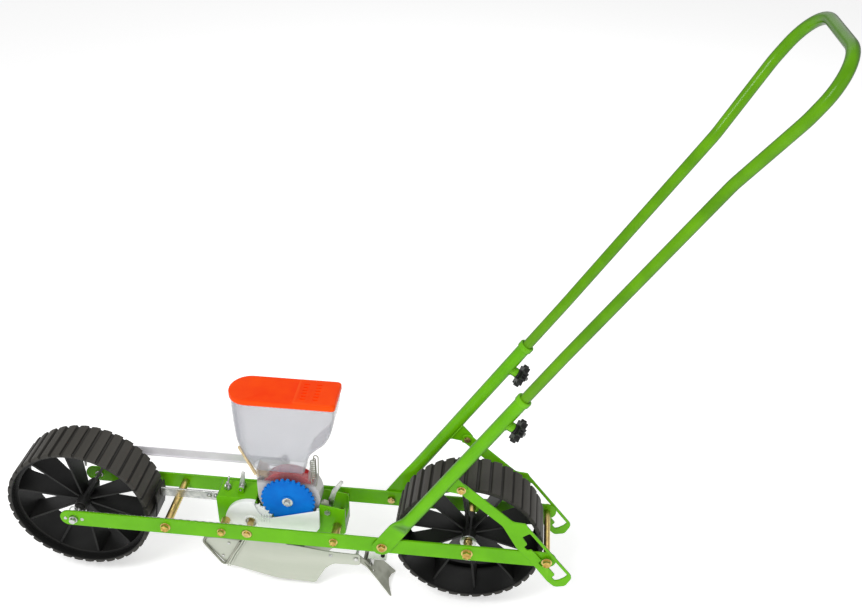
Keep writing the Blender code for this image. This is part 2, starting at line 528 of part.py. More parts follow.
# ---- handle --------------------------------------------------------------------------------------
def sockets():
    y = SOCKET_Y

    def section(t, half, thick, centre_y, power):
        ring = []
        for i in range(SEG):
            a = 2 * math.pi * i / SEG
            c, s = math.cos(a), math.sin(a)
            ring.append(on_handle(t, centre_y + thick * math.copysign(abs(s) ** power, s),
                                  half * math.copysign(abs(c) ** power, c)))
        return ring
    flat_y = RAIL_OUT + GAP + 1.5
    body = loft([section(-2, 15.3, 1.5, flat_y, 0.35), section(46, 15.3, 1.5, flat_y, 0.35),
                 section(62, 13.0, 5.5, flat_y + 4.5, 0.7), section(80, SOCKET_R, SOCKET_R, y, 1),
                 section(377, SOCKET_R, SOCKET_R, y, 1), section(377, 11.8, 11.8, y, 1),
                 section(SOCKET_LEN, 11.8, 11.8, y, 1)])
    objs = pair("socket", [body], PIVOT + Vector((0, y, 0)), GREEN)
    ear_frame = (U, N, XYZ[1])
    ear = prism([(158, 7), (204, 7)] + arc(184.4, 28.8, 9, 20, 160, 6), 60.9, 63.9, ear_frame, PIVOT)
    toe = prism(arc(-2, 0, 15.3, 110, 250, 8) + [(0, -15), (0, 15)], 57.3, 60.3, ear_frame, PIVOT)
    boss = prism(circle(7.5, 0, 0), 8.5, 17.5, (U, XYZ[1], N), on_handle(KNOB_T, y))
    combine_pair(objs, "UNION", ear)
    combine_pair(objs, "UNION", toe)
    combine_pair(objs, "UNION", boss)
    bore = prism(circle(TUBE_R + GAP, 0, 0, 16), 90, 400, (N, XYZ[1], U), PIVOT + Vector((0, y, 0)))
    combine_pair(objs, "DIFFERENCE", bore)
    combine_pair(objs, "DIFFERENCE", disc_y(X_BRACKET, AXLE_Z, 4.3, 50, 66),
                 disc_y(EAR_X, EAR_Z, 3.3, 50, 66),
                 prism(circle(4.3, 0, 0, 16), 0.5, 30, (U, XYZ[1], N), on_handle(KNOB_T, y)))
    bolt = rod_y(EAR_X, EAR_Z, [(53.5, 4.0), (54.0, 4.8, "hex"), (57.0, 4.8, "hex"), (57.0, 3.0),
                                (64.2, 3.0), (64.2, 4.8, "hex"), (68.4, 4.8, "hex"), (69.0, 3.8)])
    pair("ear_bolt", [bolt], (EAR_X, 60, EAR_Z), GOLD)


def knobs():
    star = []
    for i in range(10):
        for r, d in ((18.5, -0.16), (18.5, 0.16), (13.4, 0.5)):
            a = 2 * math.pi * (i + d) / 10
            star.append((r * math.cos(a), r * math.sin(a)))
    frame = (U, XYZ[1], N)
    base = on_handle(KNOB_T, SOCKET_Y)
    objs = pair("knob", [prism(star, 21, 31, frame, base)], base, BLACK)
    combine_pair(objs, "UNION", prism(circle(9), 18.2, 34, frame, base))
    combine_pair(objs, "UNION", prism(circle(4.0, 0, 0, 16), 8.7, 41, frame, base))


def handle_loop():
    y = SOCKET_Y
    half = [on_handle(TUBE_FROM, y), on_handle(SOCKET_LEN + 90, y), on_handle(LOOP_BEND, LOOP_Y_BEND),
            on_handle(LOOP_SHOULDER, LOOP_Y_SHOULDER), on_handle(LOOP_TOP, LOOP_Y_TOP)]
    other = [Vector((p.x, -p.y, p.z)) for p in half[::-1]]
    radii = [400, 80, 90, 60]
    path = rounded_path(half + other, radii + radii[::-1], 4)
    make("handle_loop", [sweep(path, TUBE_R, 10, TUBE_R - 1.5)], on_handle(TUBE_FROM, 0), GREEN)


def stays():
    """Toothed adjuster plates; the slot follows the rear bolt as the handle tilts."""
    along, square = Vector((0.649, -0.761)), Vector((0.761, 0.649))
    start = Vector((748, 167))

    def spot(s, n):
        p = start + along * s + square * n
        return p.x, p.y
    outline = [(641.0, 262.6), (634.0, 262.9), (629.0, 258.0), (628.6, 251.0), (633.0, 246.0), (706, 187),
               (733, 142), (752, 124), spot(92, -27), spot(110, -24), spot(117, -8), (827, 94),
               (745.5, 190), (742, 196), (722, 197)]
    upper = [spot(-7, 8.2), spot(99, 8.2), spot(101, 0)]
    lower = []
    for tooth in (95, 57, 17):
        lower += [spot(tooth + 6, -10), spot(tooth + 4, -16), spot(tooth - 5, -16), spot(tooth - 7, -8.4)]
        if tooth > 20:
            lower.append(spot(tooth - 24, -8.4))
    slot = upper + lower + [spot(-7, -6)]
    turn = -STAY_DROP

    def dropped(p):
        dx, dz = p[0] - EAR_X, p[1] - EAR_Z
        return (EAR_X + dx * math.cos(turn) - dz * math.sin(turn),
                EAR_Z + dx * math.sin(turn) + dz * math.cos(turn))
    block = prism([dropped(p) for p in outline], 57.4, 60.4,
                  holes=[[dropped(p) for p in slot], circle(3.3, EAR_X, EAR_Z, 16)])
    pair("stay", [block], (EAR_X, 59, EAR_Z), GREEN, False)


# ---- row marker ------------------------------------------------------------------------------------
def marker():
    x, y = 330.0, 66.0
    bracket = prism([(318, 100), (342, 100), (342, 151), (318, 151)], 57.3, 60.0)
    obj = make("marker_bracket", [bracket], (x, 59, 130), GREEN, False)
    combine(obj, "UNION", box(318, 342, 59, 75, 148.5, 151))
    combine(obj, "DIFFERENCE", disc_z(x, y, 3.3, 140, 160, 16))
    pin = [(144.5, 4.0), (145, 5.2), (148.2, 5.2), (148.2, 3.0), (175.0, 3.0), (175.0, 5.5), (178.5, 5.5),
           (179.5, 4.5)]
    rings = [[Vector((x + r * math.cos(a), y + r * math.sin(a), z)) for a in
              [2 * math.pi * i / 16 for i in range(16)]] for z, r in pin]
    make("marker_pin", [loft(rings)], (x, y, 150), ZINC)
    arm = prism([(-24, 157), (325, 157), (325, 174), (-24, 174)], 64.2, 67.8)
    obj = make("marker_arm", [arm], (x, y, 165), ZINC, False)
    combine(obj, "UNION", disc_z(x, y, 8.0, 151.3, 174.7))
    tine = prism([(-30, 120), (-26, 120), (-20, 158), (-20, 173), (-28, 173)], 64.8, 67.2)
    combine(obj, "UNION", tine)
    combine(obj, "DIFFERENCE", disc_z(x, y, 3.3, 140, 180, 16))


for build in (rails, cross_members, bearings, wheels, drive, unit_frame, side_cover, housing, hopper,
              unit_fittings, shoe, coverer, sockets, knobs, handle_loop, stays, marker):
    build()
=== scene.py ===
"""Looks of a single-row push seeder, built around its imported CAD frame.

Lengths are millimetres in the working frame of the CAD: X runs from the front
axle towards the handle, Y is across the machine (left side negative), Z is
height with both wheel axles at AXLE_Z.  place() turns them into metres.
"""
import json
import math
import random

import bmesh
import bpy
from mathutils import Matrix, Vector, noise
from mathutils.geometry import tessellate_polygon


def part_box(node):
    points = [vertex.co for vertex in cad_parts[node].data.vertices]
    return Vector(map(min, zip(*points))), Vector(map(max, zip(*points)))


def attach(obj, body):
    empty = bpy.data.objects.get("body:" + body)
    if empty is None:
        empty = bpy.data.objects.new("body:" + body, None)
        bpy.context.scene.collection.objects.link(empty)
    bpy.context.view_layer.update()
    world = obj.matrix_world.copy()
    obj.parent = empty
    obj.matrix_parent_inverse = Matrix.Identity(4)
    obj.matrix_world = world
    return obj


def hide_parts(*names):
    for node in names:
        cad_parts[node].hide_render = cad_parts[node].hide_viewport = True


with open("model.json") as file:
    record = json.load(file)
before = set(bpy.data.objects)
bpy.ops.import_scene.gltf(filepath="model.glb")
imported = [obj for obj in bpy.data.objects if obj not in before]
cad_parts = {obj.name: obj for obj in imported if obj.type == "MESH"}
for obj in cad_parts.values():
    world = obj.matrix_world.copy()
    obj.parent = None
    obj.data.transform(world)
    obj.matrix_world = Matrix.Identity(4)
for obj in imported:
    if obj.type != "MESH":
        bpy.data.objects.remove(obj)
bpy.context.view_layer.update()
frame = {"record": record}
HOME_BODY = {node: body for body, nodes in frame["record"]["behaviour"]["bodies"].items() for node in nodes}

# ---- driving dimensions (mm) ----
AXLE_Z = 115.0
WHEEL_R, WHEEL_HALF_W, LUGS, FINS = 121.0, 38.0, 38, 10
LUG_DEPTH, RIM_INNER, LEDGE_R, HUB_HALF = 4.0, 113.0, 107.0, 30.0
X_FRONT, X_REAR = 0.0, 649.6
RAIL_IN, RAIL_OUT = 53.0, 57.0
RAIL_START, RAIL_END = -23.5, 791.5
X_SPACER_F, X_SPACER_R = 155.2, 776.5
X_UNIT_F, X_UNIT_R = 248.9, 433.6
X_DRIVE, X_BRACKET = 290.9, 513.0
SEED_X, SEED_Z = 354.5, 164.0
GEAR_BLUE_N, GEAR_DRIVE_N = 29, 25
TILT = math.radians(57.25)
SOCKET_Y, SOCKET_R, TUBE_R = 68.0, 10.3, 8.0
SOCKET_LEN, TUBE_FROM = 386.0, 236.0
KNOB_T = 333.5
EAR_X, EAR_Z = 637.0, 254.5
LID_Z, LID_TOP = 362.0, 370.5
HINGE_X, HINGE_Z, HINGE_BORE = 463.0, 43.0, 2.8
GEAR_NEAR, GEAR_FAR, CHAIN_Y = -24.5, -20.6, -50.0
FRONT_LEVER, REAR_LEVER, WING_X = (272.0, 164.0), (418.0, 143.0), 248.0
MARKER_X, MARKER_Y = 330.0, 66.0
TREAD_FROM = WHEEL_R - LUG_DEPTH - 1.5                # dusty tread finish outside this radius

# ---- studio (m, W) ----
LIGHTS = (("key", (-0.9, -1.5, 2.5), 0.9, 34), ("fill", (2.0, -1.6, 1.6), 2.0, 8),
    ("back", (0.4, 2.2, 2.2), 2.2, 14))
AIM = Vector((0, 0, 0.3))
FLOOR_REACH, FLOOR_GLOW, SKY = 14.0, 0.42, 0.5
LENS, EYE = 41.989, (0.225405, -1.206220, 1.334251)
EYE_RIGHT, EYE_UP = Vector((0.99431, 0.10544, 0.01512)), Vector((-0.06897, 0.52910, 0.84575))
EYE_AHEAD = Vector((-0.08118, 0.84198, -0.53337))

axle_low, axle_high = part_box("front_axle")
HOME = (axle_low + axle_high) / 2 - Vector((0, 0, AXLE_Z * 0.001))
XYZ = (Vector((1, 0, 0)), Vector((0, 1, 0)), Vector((0, 0, 1)))
SIDE = (XYZ[0], XYZ[2], XYZ[1])                       # outline in XZ, depth Y
PLAN = (XYZ[0], XYZ[1], XYZ[2])                       # outline in XY, depth Z
FRONT = (XYZ[1], XYZ[2], XYZ[0])                      # outline in YZ, depth X
U = Vector((math.cos(TILT), 0, math.sin(TILT)))       # up along the handle
N = Vector((math.sin(TILT), 0, -math.cos(TILT)))      # square to it, rear side
PIVOT = Vector((X_BRACKET, 0, AXLE_Z))
rng = random.Random(11)


def place(v):
    return HOME + Vector(v) * 0.001


def on_handle(t, y, n=0.0):
    return PIVOT + U * t + N * n + Vector((0, y, 0))


def srgb(r, g, b):
    """Linear colour from an 8-bit display colour."""
    return tuple(((c / 255 + 0.055) / 1.055) ** 2.4 if c > 10 else c / 255 / 12.92 for c in (r, g, b))


def wire(tree, kind, **inputs):
    """New node; inputs are numbers, colours or the sockets to link from."""
    node = tree.nodes.new(kind)
    for key, value in inputs.items():
        socket = node.inputs[int(key[1:]) if key[0] == "_" else key.replace("_", " ")]
        if isinstance(value, bpy.types.NodeSocket):
            tree.links.new(value, socket)
        else:
            socket.default_value = value
    return node


def blend_colours(tree, factor, a, b):
    node = tree.nodes.new("ShaderNodeMix")
    node.data_type = "RGBA"
    for index, value in ((0, factor), (6, a), (7, b)):
        if isinstance(value, bpy.types.NodeSocket):
            tree.links.new(value, node.inputs[index])
        else:
            node.inputs[index].default_value = (*value, 1)
    return node.outputs[2]


def look(name, colour, other, rough, metallic=0.0, patch=22.0, grain=600.0, bump=0.05, spread=0.07,
        stretch=(1, 1, 1), wear_and_highlight=None, grazing_shade_colour=None, shine=0.5, coat=0.0):
    """Finish of two patchy colours, uneven gloss, fine relief, edges lightened partly by wear and partly as
    painted highlight, and a painted shade that darkens where the surface turns away from view.
    """
    mat = bpy.data.materials.new(name)
    mat.use_nodes = True
    tree = mat.node_tree
    bsdf = tree.nodes["Principled BSDF"]
    coords = wire(tree, "ShaderNodeTexCoord").outputs["Object"]
    coords = wire(tree, "ShaderNodeMapping", Vector=coords, Scale=stretch).outputs["Vector"]
    soft = wire(tree, "ShaderNodeTexNoise", Vector=coords, Scale=patch, Detail=4.0).outputs["Fac"]
    fine = wire(tree, "ShaderNodeTexNoise", Vector=coords, Scale=grain, Detail=3.0).outputs["Fac"]
    share = wire(tree, "ShaderNodeMapRange", Value=soft, _1=0.35, _2=0.65).outputs["Result"]
    base = blend_colours(tree, share, colour, other)
    # Convex edges are lightened: partly wear and dust, partly a painted edge highlight.
    if wear_and_highlight:
        edge = wire(tree, "ShaderNodeNewGeometry").outputs["Pointiness"]
        edge = wire(tree, "ShaderNodeMapRange", Value=edge, _1=0.53, _2=0.62).outputs["Result"]
        edge = wire(tree, "ShaderNodeMath", _0=edge, _1=soft)
        edge.operation = "MULTIPLY"
        base = blend_colours(tree, edge.outputs[0], base, wear_and_highlight)
    # Painted shade: the colour darkens towards the given tone where the surface turns away from the view.
    if grazing_shade_colour:
        grazing_shade_mask = wire(tree, "ShaderNodeLayerWeight", Blend=0.5).outputs["Facing"]
        grazing_shade_mask = wire(tree, "ShaderNodeMapRange", Value=grazing_shade_mask, _1=0.35, _2=0.95).outputs["Result"]
        base = blend_colours(tree, grazing_shade_mask, base, grazing_shade_colour)
    tree.links.new(base, bsdf.inputs["Base Color"])
    gloss = wire(tree, "ShaderNodeMath", _0=soft, _1=fine)
    gloss = wire(tree, "ShaderNodeMapRange", Value=gloss.outputs[0], _1=0.6, _2=1.4, _3=rough - spread,
        _4=rough + spread).outputs["Result"]
    tree.links.new(gloss, bsdf.inputs["Roughness"])
    relief = wire(tree, "ShaderNodeBump", Height=fine, Strength=bump, Distance=0.0002)
    tree.links.new(relief.outputs["Normal"], bsdf.inputs["Normal"])
    for key, value in (("Metallic", metallic), ("Specular IOR Level", shine), ("Coat Weight", coat),
            ("Coat Roughness", 0.07)):
        bsdf.inputs[key].default_value = value
    return mat


def clear_look(name, tint, seen, rough, frosted=None):
    """Clear moulded plastic: milkier where it turns away, and frosted below a height."""
    mat = look(name, tint, tuple(c * 0.93 for c in tint), rough, patch=30, grain=250,
        bump=0.04, spread=0.03)
    tree = mat.node_tree
    bsdf = tree.nodes["Principled BSDF"]
    turn = wire(tree, "ShaderNodeLayerWeight", Blend=0.35).outputs["Facing"]
    alpha = wire(tree, "ShaderNodeMapRange", Value=turn, _1=0.15, _2=0.95, _3=seen, _4=0.85).outputs["Result"]
    if frosted:
        coords = wire(tree, "ShaderNodeTexCoord").outputs["Object"]
        height = wire(tree, "ShaderNodeSeparateXYZ", Vector=coords).outputs["Z"]
        level = HOME.z + frosted * 0.001
        milk = wire(tree, "ShaderNodeMapRange", Value=height, _1=level - 0.004, _2=level + 0.004, _3=0.9,
            _4=0.0).outputs["Result"]
        most = wire(tree, "ShaderNodeMath", _0=alpha, _1=milk)
        most.operation = "MAXIMUM"
        alpha = most.outputs[0]
    tree.links.new(alpha, bsdf.inputs["Alpha"])
    return mat


# The grazing-shade colours given below are painted shade on the paint, darkest where the surface turns away
# from view.
# The wear-and-highlight colours below lighten convex edges: partly wear, partly painted highlight.
GREEN = look("paint_green", srgb(108, 188, 8), srgb(98, 176, 6), 0.34, bump=0.10, grain=330,
    wear_and_highlight=srgb(150, 216, 60), grazing_shade_colour=srgb(44, 92, 2), shine=0.12, coat=0.12)
# Darker copy of the same green paint for the handle tube: painted shade, with a much darker painted grazing
# shade.
SHADED_TUBE_GREEN = look("paint_green_tube_shaded", srgb(102, 166, 10), srgb(86, 146, 6), 0.3, bump=0.10,
    grain=330, wear_and_highlight=srgb(140, 200, 60), grazing_shade_colour=srgb(22, 48, 0), shine=0.12, coat=0.12)
GOLD = look("zinc_passivated", srgb(214, 188, 104), srgb(170, 132, 66), 0.32, 1.0, patch=160,
    grain=1500, wear_and_highlight=srgb(240, 224, 176))
ZINC = look("zinc_bright", srgb(206, 206, 202), srgb(176, 178, 178), 0.3, 1.0, patch=140,
    grain=1400, wear_and_highlight=srgb(236, 236, 232))
LILAC = look("zinc_pale_bar", srgb(240, 238, 242), srgb(230, 227, 233), 0.5, 0.05, patch=30,
    grain=900)
STEEL = look("steel_satin", srgb(198, 202, 188), srgb(184, 190, 174), 0.4, 0.55, patch=9,
    grain=420, bump=0.12, stretch=(0.25, 1, 2.4), wear_and_highlight=srgb(222, 222, 214))
DULL = look("steel_dull", srgb(166, 168, 154), srgb(136, 138, 124), 0.4, 0.6, patch=40,
    grain=600, bump=0.15, wear_and_highlight=srgb(190, 190, 178))
BLACK = look("plastic_black", srgb(27, 27, 26), srgb(19, 19, 19), 0.5, patch=14, grain=1100,
    bump=0.2, wear_and_highlight=srgb(70, 69, 64), shine=0.26)
TREAD = look("plastic_tread", srgb(52, 50, 46), srgb(40, 39, 36), 0.56, patch=18, grain=900,
    bump=0.3, wear_and_highlight=srgb(96, 92, 84), shine=0.28)
KNOB = look("plastic_knob", srgb(32, 34, 32), srgb(22, 24, 23), 0.4, patch=60, grain=1300,
    bump=0.15, wear_and_highlight=srgb(66, 68, 66), shine=0.3)
ORANGE = look("plastic_orange", srgb(255, 76, 0), srgb(250, 62, 0), 0.42, patch=26,
    grain=800, bump=0.12, wear_and_highlight=srgb(255, 120, 50), shine=0.07)
WHITE = look("plastic_white", srgb(248, 250, 249), srgb(240, 243, 241), 0.42, patch=30,
    grain=900, bump=0.1, shine=0.3)
BLUE = look("plastic_blue", srgb(0, 118, 212), srgb(0, 104, 200), 0.42, patch=40, grain=900,
    bump=0.1, wear_and_highlight=srgb(60, 156, 226), shine=0.08)
RED = look("plastic_red", srgb(214, 0, 20), srgb(190, 0, 14), 0.3, patch=50, grain=900,
    bump=0.1, shine=0.25)
FIBRE = look("fibre_brush", srgb(226, 206, 166), srgb(196, 172, 128), 0.7, patch=500,
    grain=2500, bump=0.1)
CLEAR = clear_look("plastic_clear", srgb(188, 190, 198), 0.26, 0.14)
HAZE = clear_look("plastic_clear_unit", srgb(206, 204, 204), 0.07, 0.16, 193.0)


# ---- mesh helpers ----
def circle(r, cx=0.0, cz=0.0, seg=32):
    step = 2 * math.pi / seg
    return [(cx + r * math.cos(i * step), cz + r * math.sin(i * step)) for i in range(seg)]


def arc(cx, cz, r, a0, a1, seg=12):
    """Points on an arc, angles in degrees."""
    angles = [math.radians(a0 + (a1 - a0) * i / seg) for i in range(seg + 1)]
    return [(cx + r * math.cos(a), cz + r * math.sin(a)) for a in angles]


def rounded(points, radius, seg=4):
    """Outline with its corners rounded; radius is one number, or one for each corner."""
    out = []
    for i, corner in enumerate(points):
        p, a, b = Vector(corner), Vector(points[i - 1]), Vector(points[(i + 1) % len(points)])
        r = radius[i] if isinstance(radius, (list, tuple)) else radius
        u, v = (a - p).normalized(), (b - p).normalized()
        half = u.angle(v) / 2
        if r <= 0 or half > math.radians(86):
            out.append(tuple(p))
            continue
        cut = min(r / math.tan(half), 0.45 * (a - p).length, 0.45 * (b - p).length)
        r = cut * math.tan(half)
        centre = p + (u + v).normalized() * (r / math.sin(half))
        r0, r1 = p + u * cut - centre, p + v * cut - centre
        turn = r0.angle(r1)
        for k in range(seg + 1):
            f = k / seg
            w = (r0 * math.sin((1 - f) * turn) + r1 * math.sin(f * turn)) / math.sin(turn)
            out.append(tuple(centre + w))
    return out


def facing(loop, counter):
    """The loop in the wanted direction round its area."""
    area = sum(loop[i - 1][0] * p[1] - p[0] * loop[i - 1][1] for i, p in enumerate(loop))
    return list(loop) if (area > 0) == counter else list(loop)[::-1]


def inset(loop, distance):
    """Loop moved to its left by a distance, with mitred corners."""
    out = []
    for i, corner in enumerate(loop):
        p = Vector(corner)
        a, b = (p - Vector(loop[i - 1])).normalized(), (Vector(loop[(i + 1) % len(loop)]) - p).normalized()
        left = Vector((-a.y - b.y, a.x + b.x)) / max(1 + a.dot(b), 0.35)
        out.append(tuple(p + left * distance))
    return out


def plate(outline, lo, hi, soft=0.4, frame=SIDE, origin=(0, 0, 0), holes=(), steps=2):
    """Flat part from an outline in two axes of a frame and depth along the third, with rounded rims."""
    loops = [facing(outline, True)] + [facing(h, False) for h in holes]
    if soft:
        turns = [math.pi / 2 * k / steps for k in range(steps + 1)]
        rows = [(soft * (1 - math.sin(a)), soft * (1 - math.cos(a))) for a in turns]
    else:
        rows = [(0.0, 0.0)]
    levels = [(d, lo + z) for d, z in rows] + [(d, hi - z) for d, z in rows[::-1]]
    base = Vector(origin)
    points, faces = [], []
    for d, z in levels:
        for loop in loops:
            points += [base + frame[0] * a + frame[1] * b + frame[2] * z
                for a, b in (inset(loop, d) if d else loop)]
    caps = tessellate_polygon([[Vector((a, b, 0)) for a, b in (inset(l, rows[0][0]) if soft else l)]
        for l in loops])
    n = sum(len(loop) for loop in loops)
    top = n * (len(levels) - 1)
    faces += [tuple(t) for t in caps] + [tuple(i + top for i in t) for t in caps]
    for k in range(len(levels) - 1):
        start = k * n
        for loop in loops:
            m = len(loop)
            faces += [(start + i, start + (i + 1) % m, start + (i + 1) % m + n, start + i + n)
                for i in range(m)]
            start += m
    return points, faces


def slab(x0, x1, y0, y1, z0, z1, soft=0.4):
    return plate([(x0, z0), (x1, z0), (x1, z1), (x0, z1)], y0, y1, soft)


def loft(rings, closed=False):
    """Skin a list of equal point rings; closed joins the last ring to the first."""
    n = len(rings[0])
    points = [p for ring in rings for p in ring]
    faces = []
    for k in range(len(rings) if closed else len(rings) - 1):
        a, b = k * n, (k + 1) % len(rings) * n
        faces += [(a + i, a + (i + 1) % n, b + (i + 1) % n, b + i) for i in range(n)]
    if not closed:
        faces += [tuple(range(n)), tuple(range(len(points) - n, len(points)))]
    return points, faces


def lathe(stations, origin=(0, 0, 0), frame=SIDE, seg=36, hollow=False):
    """Turned part along frame[2]: stations are (depth, radius) or (depth, radius, hex half width)."""
    base, rings = Vector(origin), []
    for z, r, *flat in stations:
        ring = []
        for i in range(seg):
            a = 2 * math.pi * i / seg
            rad = min(r, flat[0] / math.cos((a + math.pi / 6) % (math.pi / 3) - math.pi / 6)) if flat else r
            ring.append(base + frame[0] * (rad * math.cos(a)) + frame[1] * (rad * math.sin(a)) + frame[2] * z)
        rings.append(ring)
    return loft(rings, hollow)


def bar(r, lo, hi, origin=(0, 0, 0), frame=SIDE, seg=36):
    """Plain round bar, or the tool that bores its hole."""
    return lathe([(lo, r), (hi, r)], origin, frame, seg)


def ring(r_in, r_out, lo, hi, origin=(0, 0, 0), frame=SIDE, soft=0.3, seg=36):
    """Washer or sleeve with softened outer rims."""
    return lathe([(lo, r_in), (lo, r_out - soft), (lo + soft, r_out), (hi - soft, r_out), (hi, r_out - soft),
        (hi, r_in)], origin, frame, seg, True)


def hexagon(half, lo, hi, origin=(0, 0, 0), frame=SIDE, bore=0.0):
    """Hex head or nut with turned chamfers at both ends."""
    wide, cut = half * 1.16, 0.12 * half
    body = [(lo, half * 0.98, half), (lo + cut, wide, half), (hi - cut, wide, half), (hi, half * 0.98, half)]
    if bore:
        return lathe([(lo, bore)] + body + [(hi, bore)], origin, frame, 36, True)
    return lathe(body + [(hi, half * 0.62), (hi - 0.25, half * 0.55)], origin, frame, 36)


def threaded(r, lo, hi, origin=(0, 0, 0), frame=SIDE, pitch=1.0):
    """Bolt end with thread rings and a chamfered tip at hi."""
    span = hi - lo
    turns = max(2, int(abs(span) / pitch))
    stations = [(lo, r)]
    for k in range(turns):
        stations += [(lo + span * (k + 0.25) / turns, r), (lo + span * (k + 0.75) / turns, r - 0.35)]
    return lathe(stations + [(hi, r - 0.8)], origin, frame, 28)


def sweep(path, radius, seg=12, bore=0.0, closed=False):
    """Round bar or tube along a path; radius is one number or one for each point."""
    count = len(path)
    tangents = []
    for i in range(count):
        before, after = (i - 1, (i + 1) % count) if closed else (max(i - 1, 0), min(i + 1, count - 1))
        tangents.append((path[after] - path[before]).normalized())
    side = tangents[0].orthogonal().normalized()
    frames = []
    for t in tangents:
        side = (side - t * side.dot(t)).normalized()
        frames.append((side, t.cross(side)))

    def rings(scale):
        out = []
        for i, (p, (s, c)) in enumerate(zip(path, frames)):
            r = scale if isinstance(scale, (int, float)) else scale[i]
            out.append([p + (s * math.cos(2 * math.pi * k / seg) + c * math.sin(2 * math.pi * k / seg)) * r
                for k in range(seg)])
        return out
    if bore:
        return loft(rings(radius) + rings(bore)[::-1], True)
    return loft(rings(radius), closed)


def rounded_path(corners, radii, step=8):
    """Polyline with filleted corners (3-D points)."""
    out = [corners[0]]
    for i in range(1, len(corners) - 1):
        a, p, b = corners[i - 1], corners[i], corners[i + 1]
        u, v = (a - p).normalized(), (b - p).normalized()
        half = u.angle(v) / 2
        cut = radii[i - 1] / math.tan(half)
        centre = p + (u + v).normalized() * (radii[i - 1] / math.sin(half))
        r0, r1 = p + u * cut - centre, p + v * cut - centre
        turn = r0.angle(r1)
        for k in range(step + 1):
            f = k / step
            out.append(centre + (r0 * math.sin((1 - f) * turn) + r1 * math.sin(f * turn)) / math.sin(turn))
    out.append(corners[-1])
    return out


def bead(path, radius):
    """Weld bead: a lumpy rod along a path."""
    fine = []
    for a, b in zip(path, path[1:]):
        count = max(1, round((b - a).length / 1.1))
        fine += [a.lerp(b, k / count) for k in range(count)]
    fine.append(path[-1])
    lumps = [radius * (0.92 + 0.22 * abs(math.sin(i * 0.9)) + 0.12 * noise.noise(p * 0.35))
        for i, p in enumerate(fine)]
    lumps[0] = lumps[-1] = radius * 0.45
    return sweep(fine, lumps, 10)


def mirror(blocks):
    """The same blocks on the other side of the machine."""
    return [([Vector((p[0], -p[1], p[2])) for p in points], faces) for points, faces in blocks]


def mesh_object(name, blocks):
    bm = bmesh.new()
    for points, faces in blocks:
        verts = [bm.verts.new(place(p)) for p in points]
        for f in faces:
            bm.faces.new([verts[i] for i in f])
    bmesh.ops.recalc_face_normals(bm, faces=bm.faces)
    mesh = bpy.data.meshes.new(name)
    bm.to_mesh(mesh)
    bm.free()
    obj = bpy.data.objects.new(name, mesh)
    bpy.context.scene.collection.objects.link(obj)
    return obj


def settle(obj):
    """Replace an object's mesh by what its modifiers make of it."""
    graph = bpy.context.evaluated_depsgraph_get()
    mesh = bpy.data.meshes.new_from_object(obj.evaluated_get(graph))
    obj.modifiers.clear()
    obj.data = mesh


def boolean(obj, operation, blocks):
    tool = mesh_object("tool", blocks)
    mod = obj.modifiers.new("cut", "BOOLEAN")
    mod.operation, mod.solver, mod.object = operation, "EXACT", tool
    settle(obj)
    bpy.data.objects.remove(tool)


def soften_rims(obj, width, limit):
    """Small bevel on the edges that turn by more than limit degrees."""
    mod = obj.modifiers.new("bevel", "BEVEL")
    mod.width, mod.segments, mod.limit_method = width * 0.001, 2, "ANGLE"
    mod.angle_limit = math.radians(limit)
    settle(obj)


def paint(obj, finish):
    obj.data.materials.clear()
    obj.data.materials.append(finish)


def piece(name, finish, *blocks, stands=(), body=None, joined=(), cuts=(), bevel=0.0, sharp=48):
    """One visual piece: blocks, blocks joined on, blocks cut away, softened rims, finish and body."""
    obj = mesh_object(name, blocks)
    for extra in joined:
        boolean(obj, "UNION", extra)
    for extra in cuts:
        boolean(obj, "DIFFERENCE", extra)
    if bevel:
        soften_rims(obj, bevel, 32)
    obj.data.shade_smooth()
    obj.data.set_sharp_from_angle(angle=math.radians(sharp))
    mod = obj.modifiers.new("normals", "WEIGHTED_NORMAL")
    mod.keep_sharp = True
    settle(obj)
    paint(obj, finish)
    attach(obj, body or HOME_BODY[stands[0]])
    if stands:
        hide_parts(*stands)
    return obj


def pair(stem, finish, *blocks, stands=(), body=None, joined=(), cuts=()):
    """A piece given for the right side, and its mirror image on the left."""
    for side, turn in (("right", list), ("left", mirror)):
        names = [f"{n}_{side}" for n in stands]
        piece(f"{stem}_{side}", finish, *turn(blocks), stands=names, body=body and body.replace("SIDE", side),
            joined=[turn(b) for b in joined], cuts=[turn(b) for b in cuts])


# ---- main frame ----
def rails():
    outline = arc(RAIL_END - 15, AXLE_Z, 15, -90, 90) + arc(RAIL_START + 15, AXLE_Z, 15, 90, 270)
    holes = [circle(r + 0.3, x, AXLE_Z, 28) for x, r in ((X_FRONT, 7.0), (X_SPACER_F, 4.0), (X_UNIT_F, 3.0),
        (X_DRIVE, 8.2), (X_UNIT_R, 3.0), (X_BRACKET, 4.0), (X_REAR, 5.0), (X_SPACER_R, 4.0))]
    pair("rail_bar", GREEN, plate(outline, RAIL_IN, RAIL_OUT, 0.8, holes=holes, steps=3), stands=["rail"])


def cross_bolt(name, x, end, r, half, face=RAIL_OUT):
    """Bolt through both rails: washers, head on the left, nut and thread on the right."""
    at = (x, 0, AXLE_Z)
    nut_top = face + 1.4 + half * 0.8
    piece(f"{name}_hardware", GOLD, hexagon(half, -face - 1.3, -face - 1.3 - half * 0.72, at),
        bar(r, -face - 1.2, nut_top, at), threaded(r, nut_top + 0.05, end, at),
        hexagon(half, face + 1.4, nut_top, at, bore=r + 0.1),
        ring(r + 0.2, half * 1.42, -face - 1.2, -face - 0.1, at),
        ring(r + 0.2, half * 1.42, face + 0.1, face + 1.3, at), stands=[name])


